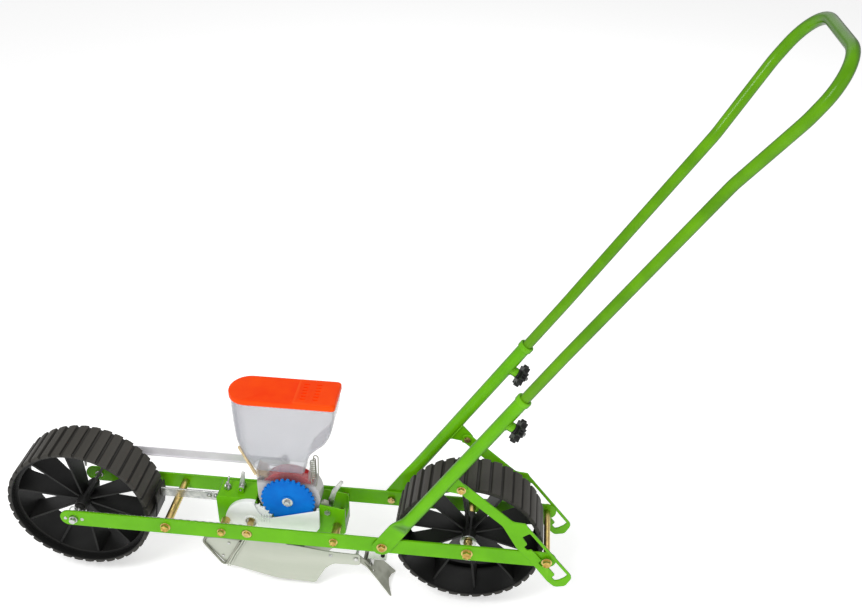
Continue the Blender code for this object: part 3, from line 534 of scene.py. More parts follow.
def cross_members():
    inner = RAIL_IN - 0.2
    for name, x, face, sleeve_r in (("front_spacer", X_SPACER_F, RAIL_OUT, 6.8),
            ("rear_spacer", X_SPACER_R, 60.9, 5.1)):
        cross_bolt(f"{name}_bolt", x, face + 9, 4.0, 6.0, face)
        piece(f"{name}_sleeve", GOLD, ring(4.1, sleeve_r, -inner, inner, (x, 0, AXLE_Z), soft=0.4),
            stands=[f"{name}_tube"])
    for name, x, r, half, near, far in (("unit_front_bolt", X_UNIT_F, 3.0, 5.0, -28.6, 20.3),
            ("unit_rear_bolt", X_UNIT_R, 3.0, 5.0, -20.3, 20.3),
            ("rear_axle", X_REAR, 5.0, 6.6, -HUB_HALF - 1, HUB_HALF + 1)):
        cross_bolt(name, x, 66, r, half)
        at = (x, 0, AXLE_Z)
        piece(f"{name}_spacers", GOLD, ring(r + 0.3, 7.0, -inner, near, at),
            ring(r + 0.3, 7.0, far, inner, at), body="frame")
    at = (X_BRACKET, 0, AXLE_Z)
    pair("bracket_hardware", GOLD, hexagon(5.8, 61.7, 65.6, at), ring(4.1, 8.6, 60.5, 61.6, at),
        lathe([(46.0, 3.2), (46.8, 4.0), (61.6, 4.0)], at), hexagon(5.8, 47.5, 52.6, at, bore=4.05),
        stands=["bracket_bolt"])


def bearings():
    pair("bearing_bush", ZINC, ring(5.4, 7.0, 52.2, 60.5, (0, 0, AXLE_Z), soft=0.5), stands=["front_bearing"])
    for name, x in (("bearing_rivet_front", -14.2), ("bearing_rivet_rear", 14.2)):
        pair(name, ZINC, lathe([(56.9, 3.1), (57.7, 3.0), (58.5, 2.2), (58.9, 0.8)], (x, 0, AXLE_Z)),
            body="frame")
    pair("drive_bush_flange", GOLD, lathe([(51.9, 5.4), (51.9, 10.5), (52.7, 10.5), (52.7, 8.2), (57.3, 8.2),
        (57.7, 7.8), (57.7, 5.4)], (X_DRIVE, 0, AXLE_Z), hollow=True), stands=["drive_bush"])


# ---- wheels ----
def tread_outline(grow=0.0):
    """Rounded lugs whose tops fall away a little towards one side."""
    pitch = 360.0 / LUGS
    low, out = WHEEL_R - LUG_DEPTH, []
    for i in range(LUGS):
        for part, r in ((0.0, low), (0.04, low + 0.3), (0.07, WHEEL_R - 0.8), (0.10, WHEEL_R),
                (0.45, WHEEL_R - 0.1), (0.76, WHEEL_R - 0.9), (0.81, WHEEL_R - 1.7), (0.85, low + 0.4),
                (0.88, low), (0.95, low)):
            a = math.radians(pitch * (i + part))
            out.append(((r + grow) * math.cos(a), (r + grow) * math.sin(a)))
    return out


def wheel(name, x, ledge_y, bore, phase):
    w = WHEEL_HALF_W

    def rim_ring(points, y):
        return [Vector((x + a, y, AXLE_Z + b)) for a, b in points]
    count = len(tread_outline())
    inside = [rim_ring(circle(r, seg=count), y) for r, y in ((RIM_INNER + 1.8, w), (RIM_INNER + 0.6, w - 0.6),
        (RIM_INNER, w - 3), (RIM_INNER, -w + 3), (RIM_INNER + 0.6, -w + 0.6), (RIM_INNER + 1.8, -w))]
    outside = [rim_ring(tread_outline(g), y) for g, y in ((-1.6, -w), (-0.5, -w + 0.5), (0.0, -w + 1.6),
        (0.0, w - 1.6), (-0.5, w - 0.5), (-1.6, w))]
    tread = loft(outside + inside, True)
    root = RIM_INNER + 1.2
    shelf = lathe([(ledge_y - 1.5, LEDGE_R + 0.6), (ledge_y - 1.0, LEDGE_R), (ledge_y + 1.0, LEDGE_R),
        (ledge_y + 1.5, LEDGE_R + 0.6), (ledge_y + 1.5, root), (ledge_y - 1.5, root)], (x, 0, AXLE_Z), seg=91,
        hollow=True)
    fins = []
    for k in range(FINS):
        a = phase + 2 * math.pi * k / FINS
        out, across = Vector((math.cos(a), 0, math.sin(a))), Vector((-math.sin(a), 0, math.cos(a)))
        shape = [(8, -12), (17, -14), (102, -23), (root, -27), (root, 27), (102, 23), (17, 14), (8, 12)]
        fins.append(plate(rounded(shape, [0, 6, 10, 0, 0, 10, 6, 0], 3), -2.0, 2.0, 0.7,
            (out, XYZ[1], across), (x, 0, AXLE_Z)))
    hub = lathe([(-HUB_HALF, 9.6), (-HUB_HALF + 0.8, 10.4), (-15, 10.8), (-13, 12), (13, 12), (15, 10.8),
        (HUB_HALF - 0.8, 10.4), (HUB_HALF, 9.6)], (x, 0, AXLE_Z), seg=41)
    obj = piece(f"{name}_moulding", BLACK, tread, stands=[name],
        joined=[[shelf], *[[f] for f in fins], [hub]],
        cuts=[[bar(bore, -HUB_HALF - 5, HUB_HALF + 5, (x, 0, AXLE_Z), seg=37)]], sharp=38)
    obj.data.materials.append(TREAD)
    centre = place((x, 0, AXLE_Z))
    for face in obj.data.polygons:
        spoke = face.center - centre
        if math.hypot(spoke.x, spoke.z) > TREAD_FROM * 0.001:
            face.material_index = 1


def wheels():
    wheel("front_wheel", X_FRONT, -25.0, 6.3, math.radians(24))
    wheel("rear_wheel", X_REAR, 25.0, 8.6, math.radians(25))
    at = (X_FRONT, 0, AXLE_Z)
    piece("front_axle_rod", ZINC, lathe([(-66, 3.6), (-65, 5.0), (-63.6, 5.0), (-63.4, 4.3), (-62.4, 4.3),
        (-62.2, 5.0), (-30.5, 5.0), (-30.5, 6.0), (30.5, 6.0), (30.5, 5.0), (62.2, 5.0), (62.4, 4.3),
        (63.4, 4.3), (63.6, 5.0), (65, 5.0), (66, 3.6)], at), stands=["front_axle"])
    pair("front_hub_collar", BLACK, ring(5.2, 8.0, 30.7, 36, at, soft=0.8), body="front_wheel")
    hoop = [Vector((X_FRONT - 4 + 6.5 * math.cos(a), -45.5 + 1.5 * math.sin(a),
        AXLE_Z + 7 + 6.5 * math.sin(a))) for a in (2 * math.pi * i / 30 for i in range(28))]
    piece("front_cotter_ring", ZINC, sweep(hoop, 0.75, 10), body="front_wheel")
    at = (X_REAR, 0, AXLE_Z)
    end = HUB_HALF + 0.4
    piece("rear_hub_bush", ZINC, lathe([(-end, 5.3), (-end, 8.3), (end, 8.3), (end, 5.3)], at, hollow=True),
        stands=["rear_wheel_bush"])
    piece("rear_hub_flange", ZINC, ring(8.5, 13.5, -32.8, -30.1, at, soft=0.7), body="rear_wheel")
    piece("rear_hub_screw", KNOB, lathe([(-32.7, 1.5), (-33.2, 1.3)], (X_REAR - 2, 0, AXLE_Z + 10.9), seg=16),
        body="rear_wheel")


# ---- drive ----
def toothed(n, root, tip, phase=0.0, width=0.42, cx=0.0, cz=0.0):
    """Moulded gear outline with rounded tips."""
    out = []
    for i in range(n):
        a = 2 * math.pi * (i + phase) / n
        w = 2 * math.pi / n * width
        for r, d in ((root, -0.66), (tip - 0.7, -0.44), (tip, -0.28), (tip, 0.28), (tip - 0.7, 0.44),
                (root, 0.66)):
            out.append((cx + r * math.cos(a + d * w), cz + r * math.sin(a + d * w)))
    return out


def chain_blocks(pitch=6.35, r=9.6):
    """Links and rollers along the loop between the two sprockets."""
    straight = X_DRIVE - X_FRONT
    total = 2 * straight + 2 * math.pi * r
    count = 2 * round(total / pitch / 2)

    def spot(s):
        s %= total
        if s < straight:
            return X_FRONT + s, AXLE_Z + r
        s -= straight
        if s < math.pi * r:
            return X_DRIVE + r * math.sin(s / r), AXLE_Z + r * math.cos(s / r)
        s -= math.pi * r
        if s < straight:
            return X_DRIVE - s, AXLE_Z - r
        s -= straight
        return X_FRONT - r * math.sin(s / r), AXLE_Z - r * math.cos(s / r)
    blocks = []
    for k in range(count):
        a, b = Vector(spot(k * total / count)), Vector(spot((k + 1) * total / count))
        along = (b - a).normalized()
        face = (Vector((along.x, 0, along.y)), Vector((-along.y, 0, along.x)), XYZ[1])
        length, at = (b - a).length, (a.x, 0, a.y)
        outline = arc(length, 0, 1.5, -90, 90, 4) + arc(0, 0, 1.5, 90, 270, 4)
        inner, outer = (0.95, 1.5) if k % 2 else (1.55, 2.1)
        blocks += [plate(outline, CHAIN_Y + lo, CHAIN_Y + hi, 0, face, at)
            for lo, hi in ((inner, outer), (-outer, -inner))]
        blocks.append(bar(1.0, CHAIN_Y - 0.9, CHAIN_Y + 0.9, at, seg=10))
    return blocks


def drive():
    for name, x in (("front_sprocket", X_FRONT), ("drive_sprocket", X_DRIVE)):
        piece(f"{name}_wheel", ZINC, plate(toothed(12, 6.7, 8.2, cx=x, cz=AXLE_Z), CHAIN_Y - 0.8,
            CHAIN_Y + 0.8, 0.2, holes=[circle(5.3, x, AXLE_Z)]), stands=[name])
    piece("chain_links", ZINC, *chain_blocks(), stands=["drive_chain"])
    piece("drive_shaft_rod", GOLD, lathe([(-61, 3.8), (-60.2, 5.0), (60.2, 5.0), (61, 3.8)],
        (X_DRIVE, 0, AXLE_Z)), stands=["drive_shaft"])
    span = math.hypot(SEED_X - X_DRIVE, SEED_Z - AXLE_Z)
    slope = math.atan2(SEED_Z - AXLE_Z, SEED_X - X_DRIVE) / (2 * math.pi)
    total = GEAR_BLUE_N + GEAR_DRIVE_N
    r_drive, r_blue = span * GEAR_DRIVE_N / total, span * GEAR_BLUE_N / total
    teeth = toothed(GEAR_DRIVE_N, r_drive - 2.2, r_drive + 1.4, slope * GEAR_DRIVE_N, 0.3, X_DRIVE, AXLE_Z)
    piece("drive_gear_disc", WHITE, plate(teeth, GEAR_NEAR, GEAR_FAR, 0.3,
        holes=[circle(5.3, X_DRIVE, AXLE_Z)]), stands=["drive_gear"])
    teeth = toothed(GEAR_BLUE_N, r_blue - 2.3, r_blue + 1.4, (slope + 0.5) * GEAR_BLUE_N + 0.5, 0.58, SEED_X,
        SEED_Z)
    at = (SEED_X, 0, SEED_Z)
    piece("seed_gear_disc", BLUE, plate(teeth, GEAR_NEAR, GEAR_FAR, 0.35,
        holes=[circle(5.2, SEED_X, SEED_Z)]), ring(5.2, r_blue - 4.4, GEAR_NEAR - 0.4, GEAR_NEAR + 0.05, at,
        soft=0.35, seg=72), ring(5.2, 10.5, -26.7, -24.95, at, soft=0.8), stands=["seed_gear"])
    piece("seed_shaft_rod", ZINC, lathe([(-28.2, 5.0), (18.6, 5.0), (19.8, 4.0)], at),
        ring(4.8, 8.8, -28.2, -26.8, at), hexagon(4.6, -28.3, -31.5, at), stands=["seed_shaft"])
    cells = []
    for i in range(16):
        cells += arc(SEED_X, SEED_Z, 47.6, i * 22.5, i * 22.5 + 15, 4)
        cells += [(SEED_X + 45.0 * math.cos(math.radians(i * 22.5 + d)),
            SEED_Z + 45.0 * math.sin(math.radians(i * 22.5 + d))) for d in (16.5, 21)]
    flanges = [ring(5.3, 48.2, lo, hi, at, soft=0.6, seg=96) for lo, hi in ((-11, -8.6), (8.6, 11))]
    piece("seed_roller_drum", RED, plate(cells, -8.5, 8.5, 0.3, holes=[circle(5.3, SEED_X, SEED_Z)]),
        *flanges, stands=["seed_roller"])


# ---- seed unit ----
def unit_frame():
    outline = rounded([(233, 96), (447, 96), (447, 150), (440, 150.5), (405, 157), (402, 135), (304, 135),
        (300, 158), (233, 158)], [5, 5, 7, 3, 3, 4, 4, 3, 5])
    holes = [circle(r, x, z, 24) for r, x, z in ((3.3, X_UNIT_F, AXLE_Z), (3.3, X_UNIT_R, AXLE_Z),
        (5.4, X_DRIVE, AXLE_Z), (3.4, *REAR_LEVER))]
    ears = [plate(rounded([(267, 156.5), (277, 156.5), (277, 169), (267, 169)], [0, 0, 4, 4]), lo, lo + 2,
        0.4, holes=[circle(2.6, *FRONT_LEVER, 20)]) for lo in (7.2, -9.2)]
    block = rounded([(407, 147.2), (420, 147.2), (420, 160), (412, 163), (407, 160)], 1.5)
    piece("rear_lever_block", DULL, plate(block, -17.2, -11.6, 0.5),
        hexagon(2.6, -11.5, -9.9, (413.5, 0, 155)), body="frame")
    piece("unit_channel", GREEN, plate(outline, -20, 20, 0.8, holes=holes), stands=["unit_frame"],
        cuts=[[slab(235, 301, -18, 18, 90, 156, 0.0)], [slab(300.5, 445, -18, 18, 90, 165, 0.0)],
        [slab(440, 450, -15, 15, 124, 165, 0.0)]], joined=[[e] for e in ears], sharp=40)


def side_cover():
    lobe, wall = 43.0, 1.8
    tail = rounded([(330, 82), (396, 98), (405, 112), (406.5, 153)], [0, 6, 5, 1.5])
    face = [*arc(X_DRIVE, AXLE_Z, lobe, 80, 290, 40), *tail, (326, 126),
        *arc(SEED_X, SEED_Z, 57, 222, 191, 12)]
    rim = arc(X_DRIVE, AXLE_Z, lobe - 0.3, 78, 288, 40) + arc(X_DRIVE, AXLE_Z, lobe - wall, 288, 78, 40)
    at = (X_DRIVE, 0, AXLE_Z)
    ribs = [slab(x, x + 1.5, -29.4, -27.6, 117, 134, 0.3) for x in (307, 311.5, 316, 320.5)]
    piece("unit_side_cover", WHITE, plate(face, -28.0, -26.4, 0.7, holes=[circle(9.5, X_DRIVE, AXLE_Z)],
        steps=3), stands=["side_cover"], joined=[[plate(rim, -27.0, -20.3, 0)],
        [slab(401, 404.8, -27.0, -20.3, 112, 150, 0.3)],
        [lathe([(-29.2, 9.5), (-29.4, 10.2), (-29.2, 12.2), (-27.5, 13.2), (-27.5, 9.5)], at, hollow=True)],
        *[[r] for r in ribs]], cuts=[[bar(3.5, -32, -15, (X_UNIT_F, 0, AXLE_Z))]])


def housing():
    def outline(grow, top):
        r = 49.5 + grow
        right = math.degrees(math.acos((388 + grow - SEED_X) / r))
        return [(388 + grow, top), (SEED_X - r, top)] + arc(SEED_X, SEED_Z, r, 180, 360 + right, 60)
    piece("roller_shell", HAZE, plate(outline(2.2, 216), -15, 15, 1.2, steps=3), stands=["roller_housing"],
        cuts=[[plate(outline(0.0, 220), -12.6, 12.6, 0)], [bar(5.3, -20, 20, (SEED_X, 0, SEED_Z))],
        [slab(341, 368, -9, 9, 105, 120, 0)]])


def hopper_ring(z, x0, x1, w, corner, seg=12):
    """D-shaped section: round front, square back with rounded corners."""
    r = min(w, (x1 - x0) * 0.6)
    pts = [(x0 + r - r * math.sin(a), -w * math.cos(a))
        for a in [math.pi * k / (2 * seg) for k in range(2 * seg + 1)]]
    pts += [(x1 - corner + p, w - corner + q) for p, q in arc(0, 0, corner, 90, 0, 6)]
    pts += [(x1 - corner + p, -w + corner + q) for p, q in arc(0, 0, corner, 0, -90, 6)]
    return [Vector((x, y, z)) for x, y in pts]


def hopper():
    stations = [(216.3, 296, 382, 14.5), (233, 286, 386, 18), (250, 279.5, 391, 21.5),
        (262, 276.5, 396, 23.5), (276, 273.5, 408, 26), (290, 272.5, 421, 27.5), (312, 271.5, 431, 28.8),
        (340, 271, 437, 30), (LID_Z, 271, 437, 30.6)]
    smooth = [stations[0]]
    for i in range(len(stations) - 1):
        p0, p1, p2, p3 = (stations[min(max(i + d, 0), len(stations) - 1)] for d in (-1, 0, 1, 2))
        for k in (1, 2, 3):
            f = k / 3
            smooth.append(tuple(0.5 * (2 * b + (c - a) * f + (2 * a - 5 * b + 4 * c - d) * f ** 2
                + (3 * b - a - 3 * c + d) * f ** 3) for a, b, c, d in zip(p0, p1, p2, p3)))
    outer = [hopper_ring(z, a, b, w, 5) for z, a, b, w in smooth]
    inner = [hopper_ring(z, a + 2, b - 2, w - 2, 4) for z, a, b, w in smooth]
    piece("hopper_shell", CLEAR, loft(outer + inner[::-1], True), stands=["hopper_body"])
    top = [hopper_ring(z, 269 + d, 440 - d, 32.6 - d, 6)
        for z, d in ((LID_Z - 2, 0.5), (LID_Z - 1.5, 0), (LID_TOP - 3.0, 0), (LID_TOP - 1.6, 0.5),
        (LID_TOP - 0.5, 1.6), (LID_TOP, 3.2))]
    piece("hopper_slide_strip", FIBRE, plate(rounded([(277.6, 262), (281.2, 263.5), (304.6, 208),
        (300.8, 206.5)], 0.8), -16.8, -12.6, 0.3), body=HOME_BODY["hopper_body"])
    marks = [slab(x, x + 8, y, y + 2.6, LID_TOP - 1.0, LID_TOP + 1, 0) for x in (384, 404)
        for y in (-21, -13.5, -6, 1.5, 9, 16.5)]
    piece("lid_moulding", ORANGE, loft(top), stands=["hopper_lid"],
        cuts=[[loft([hopper_ring(z, 270.7, 437.3, 30.9, 5) for z in (LID_Z - 4, LID_Z + 0.3)])],
        [loft([hopper_ring(z, 274, 434, 27.6, 4) for z in (LID_Z - 1, LID_TOP - 2.2)])],
        [slab(260, 375, -40, 40, LID_TOP - 1.2, LID_TOP + 1, 0)], *[[m] for m in marks]], sharp=30)


def brush_and_spring():
    bristles = [slab(303.6, 306.0, -11.5, 11.5, 199, 214.5, 0.4)]
    for _ in range(170):
        start = Vector((rng.uniform(305, 309), rng.uniform(-11, 11), rng.uniform(201, 214)))
        end = start + Vector((rng.uniform(9, 13), rng.uniform(-1.2, 1.2), rng.uniform(-9, -4)))
        middle = start.lerp(end, 0.5) + Vector((0, rng.uniform(-0.5, 0.5), rng.uniform(0.2, 1.2)))
        bristles.append(sweep([start, middle, end], [0.32, 0.28, 0.12], 5))
    piece("brush_tuft", FIBRE, *bristles, stands=["seed_brush"])
    coil = []
    for k in range(234):
        a = k * math.pi / 13
        coil.append(Vector((396.8 + 4.3 * math.sin(a), -11 + 4.3 * math.cos(a), 244 - 0.16 * k)))
    bail = rounded_path([Vector(p) for p in ((396.5, -9, 240), (398.5, -10, 254), (405.5, -11, 252),
        (404.5, -12, 214), (400, -12, 190), (393, -12, 187), (393, -12, 204))], [4, 4, 14, 6, 3], 6)
    piece("clip_spring", DULL, sweep(coil, 0.85, 8), sweep(bail, 0.9, 8), stands=["spring_clip"])


def unit_fittings():
    at = (FRONT_LEVER[0], 0, FRONT_LEVER[1])
    lever = arc(*FRONT_LEVER, 5, 165, 375, 14) + [(279.2, 192)] + arc(276.6, 193.6, 3.0, 15, 165, 6)
    piece("front_lever_blade", ZINC, plate(lever, -1.5, 1.5, 0.6, holes=[circle(2.2, *FRONT_LEVER, 20)]),
        ring(2.2, 4.5, -6.8, -1.6, at), ring(2.2, 4.5, 1.6, 6.8, at),
        lathe([(-9.8, 1.6), (-9.2, 2.1), (9.2, 2.1), (9.8, 1.6)], at), stands=["front_lever"])
    blade = rounded([(411.5, 140), (423, 137), (431.5, 176), (444.5, 200), (439.5, 203), (424.5, 180)],
        [5, 5, 12, 2.4, 2.4, 12])
    at = (REAR_LEVER[0], 0, REAR_LEVER[1])
    piece("rear_lever_blade", ZINC, plate(blade, -9.5, -6.5, 0.6, holes=[circle(3.05, *REAR_LEVER, 20)]),
        bar(3.0, -20.3, 20.3, at), hexagon(4.5, -20.35, -22.2, at), hexagon(4.5, 20.35, 22.2, at),
        ring(3.05, 5.6, -11.2, -9.6, at), stands=["rear_lever"])
    up = (WING_X, 0, 0)
    wing = rounded([(-5, 160), (5, 160), (13.5, 172.5), (9, 176.5), (3, 167), (-3, 167), (-9, 176.5),
        (-13.5, 172.5)], [0, 0, 3, 3, 2, 2, 3, 3])
    piece("wing_nut_casting", ZINC, lathe([(158.3, 5.4), (158.9, 6.0), (163, 5.4), (165, 4.2), (166.2, 3.4)],
        up, PLAN), stands=["wing_nut"], joined=[[plate(wing, -1.3, 1.3, 0.6, FRONT, up)]])
    piece("wing_nut_stud", ZINC, threaded(2.5, 166.3, 171.5, up, PLAN), body=HOME_BODY["wing_nut"])
    piece("scraper_bar", ZINC, plate(rounded([(131.8, 130), (232.7, 130), (232.7, 147), (131.8, 147)], 2),
        -1.5, 1.5, 0.5), stands=["scraper_arm"])
    for tag, x in (("front", 215), ("rear", 226)):
        at = (x, 0, 138.5)
        piece(f"scraper_screw_{tag}", ZINC, lathe([(-1.6, 4.0), (-3.0, 4.0), (-3.9, 3.2), (-4.2, 2.0)], at),
            body="frame", cuts=[[slab(x - 5, x + 5, -5, -3.2, 138.0, 139.0, 0)]])
    blade = [(124, 99), (126.5, 98.5), (131.5, 126), (131.5, 146), (129.1, 146), (129.1, 127)]
    piece("scraper_wiper", BLACK, plate(rounded(blade, [0.8, 0.8, 14, 1, 1, 14]), -21, 21, 0.6),
        stands=["scraper_blade"])


# ---- soil tools ----
def shoe_side():
    """Outline of a shoe sheet: sole, heel, rear strap, boot round the seed tube and front top edge."""
    return [(231.5, -15.5), (262, -16), (320, -19), (388, -22), *arc(386, -13, 9, -75, -10, 6), (409.5, 14),
        *arc(432, 8, 20, 130, 95, 6), *arc(466, 33, 4, -90, 0, 4), *arc(466, 49, 4, 0, 90, 4), (457, 53),
        (428.5, 54), (411, 55), (368, 61), (345, 63), (345, 113), *arc(342, 113, 3, 0, 90, 4),
        *arc(337, 113, 3, 90, 180, 4), (334, 66), (300, 94), (269, 94)]


def shoe():
    half, nose_x, full_x = 22.3, 205.0, 325.0
    wall = [(nose_x, 0), (full_x - 8, half - 1.4), (full_x + 4, half), (471, half), (471, half - 2),
        (full_x + 4, half - 2), (full_x - 7, half - 3.3), (nose_x + 12, 0)]
    pair("shoe_side_sheet", STEEL, plate(wall, -40, 130, 0, PLAN), stands=["shoe_plate"],
        cuts=[[bar(HINGE_BORE, -30, 30, (HINGE_X, 0, HINGE_Z))]])
    for side in ("right", "left"):
        obj = bpy.data.objects[f"shoe_side_sheet_{side}"]
        boolean(obj, "INTERSECT", [plate(shoe_side(), -30, 30, 0)])
        soften_rims(obj, 0.4, 40)
        paint(obj, STEEL)
    pair("shoe_rivet", ZINC, lathe([(22.2, 3.4), (23.0, 3.2), (23.8, 2.2), (24.1, 0.8)], (420, 0, 46)),
        body="frame")
    tip = [Vector(p) for p in ((194, -0.8, 30), (194, 0.8, 30), (201, 1.2, 41), (201, -1.2, 41))]
    heel = [Vector(p) for p in ((230, -3.6, -17), (230, 3.6, -17), (259, 9.4, 52), (259, -9.4, 52))]
    piece("shoe_nose_plate", STEEL, loft([tip, heel]), stands=["shoe_nose"], bevel=0.6)
    edge = rounded_path([Vector(p) for p in ((263, 12.0, 53), (203, 3.4, 48), (192, 2.2, 33),
        (228.5, 6.2, -18), (262, 12.6, 50))], [9, 9, 6], 8)
    pair("nose_rolled_edge", DULL, sweep(edge, 2.0, 12), body="frame")
    strap = [Vector(p) for p in ((233.5, 7.4, -16), (248, 10.6, 16), (264, 13.6, 46), (276, 15.2, 72))]
    pair("nose_strap", STEEL, sweep(rounded_path(strap, [60, 60], 5), 1.5, 12),
        sweep(rounded_path([p + Vector((4.2, 0.6, 0)) for p in strap], [60, 60], 5), 1.3, 12), body="frame")
    pair("nose_rivet", ZINC, *[lathe([(y, 2.6), (y + 1.2, 2.4), (y + 1.8, 1.0)], (x, 0, z))
        for x, y, z in ((240, 6.9, 38), (226, 4.0, 4))], body="frame")
    outer = [rounded([(-a, -b), (a, -b), (a, b), (-a, b)], r) for a, b, r in ((14, 8, 2.5), (12.5, 6.5, 1.4))]
    piece("seed_tube_duct", BLACK, plate(outer[0], 2, 111, 0.4, PLAN, (354.5, 0, 0), [outer[1]]),
        stands=["seed_tube"])
    at = (HINGE_X, 0, HINGE_Z)
    piece("coverer_rivet_pin", ZINC, lathe([(-25.2, 1.5), (-24.8, 3.2), (-23.8, 4.2), (-22.7, 4.2),
        (-22.7, 2.5), (22.7, 2.5), (22.7, 4.2), (23.8, 4.2), (24.8, 3.2), (25.2, 1.5)], at),
        stands=["coverer_pin"])


def coverer():
    top, tip = Vector((478, 0, 30)), Vector((522, 0, -31))
    along = (tip - top).normalized()
    sheet = (along, XYZ[1], along.cross(XYZ[1]))
    tail = rounded([(-6, -19), (8, -21), (40, -24), (74.5, -29), (76, -27.5), (66, -12), (62, 0), (66, 12),
        (76, 27.5), (74.5, 29), (40, 24), (8, 21), (-6, 19)], [3, 3, 0, 0.6, 0.6, 4, 6, 4, 0.6, 0.6, 0, 3, 3])
    lug = arc(HINGE_X, HINGE_Z, 7.5, 60, 250, 10) + [(478, 24), (490, 12), (490, 18), (480, 36)]
    piece("coverer_tail", DULL, plate(tail, -1.0, 1.0, 0.3, sheet, top,
        [circle(2.2, 12, -12, 16), circle(2.2, 22, -15, 16)]), stands=["coverer"],
        joined=[[plate(lug, 16.5, 18.5, 0.3)], [plate(lug, -18.5, -16.5, 0.3)]],
        cuts=[[bar(HINGE_BORE, -30, 30, (HINGE_X, 0, HINGE_Z))]])
    out = sheet[2] if sheet[2].z > 0 else -sheet[2]
    foot = [top + along * a + out * b for a, b in ((1, 1.3), (16, 1.3), (16, 3.0))]
    strip = [(p.x, p.z) for p in foot] + [(484.5, 31.5), (512, 31.5), (512, 33.4), (480.5, 33.4)]
    piece("coverer_tab_strip", ZINC, plate(strip, -9, 9, 0.4), stands=["coverer_tab"])
    piece("coverer_tab_cap", KNOB, lathe([(33.4, 3.6), (34.6, 3.6), (35.4, 2.6), (35.7, 0.8)], (505, 0, 0),
        PLAN), body=HOME_BODY["coverer_tab"])


# ---- handle ----
def sockets():
    flat_y = RAIL_OUT + 1.8

    def section(t, half, thick, centre_y, power, seg=40):
        out = []
        for i in range(seg):
            a = 2 * math.pi * i / seg
            c, s = math.cos(a), math.sin(a)
            out.append(on_handle(t, centre_y + thick * math.copysign(abs(s) ** power, s),
                half * math.copysign(abs(c) ** power, c)))
        return out
    rings = [section(-2 - 15.3 * math.sin(a), max(15.3 * math.cos(a), 1.0), 1.5 - 0.5 * math.sin(a), flat_y,
        0.3) for a in (1.5, 1.2, 0.9, 0.6, 0.3, 0.0)]
    for k in range(13):
        f = k / 12
        e = f * f * (3 - 2 * f)
        half = 15.3 + (SOCKET_R - 15.3) * e
        rings.append(section(44 + 42 * f, half, 1.5 + (SOCKET_R - 1.5) * e, flat_y + (SOCKET_Y - flat_y) * e,
            0.3 + 0.7 * min(1.0, e * 1.3)))
    for t, r in ((200, SOCKET_R), (376.4, SOCKET_R), (377.0, SOCKET_R + 0.5), (377.3, 11.5), (378.0, 11.8),
            (384.6, 11.8), (385.6, 11.3), (SOCKET_LEN, 10.6), (SOCKET_LEN, 8.6), (385.4, 8.25), (90, 8.25)):
        rings.append(section(t, r, r, SOCKET_Y, 1))
    boss_at = on_handle(KNOB_T, SOCKET_Y)
    boss = lathe([(7.5, 7.5), (16.6, 7.5), (17.5, 6.7)], boss_at, (U, XYZ[1], N), seg=37)
    ear_frame = (U, N, XYZ[1])
    ear = plate(rounded([(165, 6), (201, 6), (194, 29), (190, 37.8), (179, 37.8), (175, 29)],
        [0, 0, 6, 5, 5, 6]), 60.9, 63.9, 0.5, ear_frame, PIVOT)
    bolt_hole = bar(3.3, 50, 66, (EAR_X, 0, EAR_Z))
    pair("socket_tube", GREEN, loft(rings), stands=["socket"], joined=[[ear], [boss]],
        cuts=[[bar(4.3, 50, 66, (X_BRACKET, 0, AXLE_Z))], [bolt_hole],
        [bar(4.3, 0.5, 30, boss_at, (U, XYZ[1], N))],
        [bar(8.25, 90, 380, PIVOT + Vector((0, SOCKET_Y, 0)), (N, XYZ[1], U), seg=41)]])
    body = HOME_BODY["socket_right"]
    n_side = math.sqrt(SOCKET_R ** 2 - (SOCKET_Y - 61.6) ** 2)
    pair("socket_ear_weld", GREEN, bead([on_handle(t, 60.7, n_side) for t in (166, 200)], 1.5), body=body)
    collar = [boss_at + U * (7.9 * math.cos(a)) + XYZ[1] * (7.9 * math.sin(a))
        + N * math.sqrt(SOCKET_R ** 2 - (7.9 * math.sin(a)) ** 2)
        for a in (2 * math.pi * i / 24 for i in range(25))]
    pair("socket_boss_weld", GREEN, bead(collar, 1.1), body=body)
    at = (EAR_X, 0, EAR_Z)
    pair("ear_hardware", GOLD, hexagon(4.9, 65.3, 68.6, at), ring(3.1, 7.2, 64.1, 65.2, at),
        lathe([(53.5, 2.4), (54.0, 3.0), (65.2, 3.0)], at), hexagon(4.9, 54.0, 57.0, at, bore=3.05),
        stands=["ear_bolt"])


def knobs():
    frame_n = (U, XYZ[1], N)
    base = on_handle(KNOB_T, SOCKET_Y)
    star = []
    for i in range(200):
        a = 2 * math.pi * i / 200
        r = 13.2 + 5.3 * (0.5 + 0.5 * math.cos(10 * a)) ** 1.25
        star.append((r * math.cos(a), r * math.sin(a)))
    disc = plate(star, 22, 31, 1.1, frame_n, base, steps=3)
    hub = lathe([(18.2, 7.2), (18.8, 7.8), (33.0, 7.8), (34.0, 6.8)], base, frame_n)
    groove = lathe([(29.6, 8.8), (29.6, 11.4), (32.0, 11.6), (32.0, 8.6)], base, frame_n, 48, True)
    pair("knob_star", KNOB, disc, joined=[[hub]], cuts=[[groove]], stands=["knob"])
    pair("knob_stud", ZINC, threaded(3.2, 34.1, 38.5, base, frame_n),
        lathe([(8.9, 3.4), (9.6, 4.0), (18.1, 4.0)], base, frame_n), body="knob_SIDE")


def handle_loop():
    y = SOCKET_Y
    half = [on_handle(TUBE_FROM, y), on_handle(SOCKET_LEN + 90, y), on_handle(803.0, 79.0),
        on_handle(917.0, 105.8), on_handle(1000.0, 107.0)]
    other = [Vector((p.x, -p.y, p.z)) for p in half[::-1]]
    radii = [400, 80, 90, 60]
    path = rounded_path(half + other, radii + radii[::-1], 14)
    piece("handle_tube", SHADED_TUBE_GREEN, sweep(path, TUBE_R, 40, TUBE_R - 1.5), stands=["handle_loop"], sharp=60)


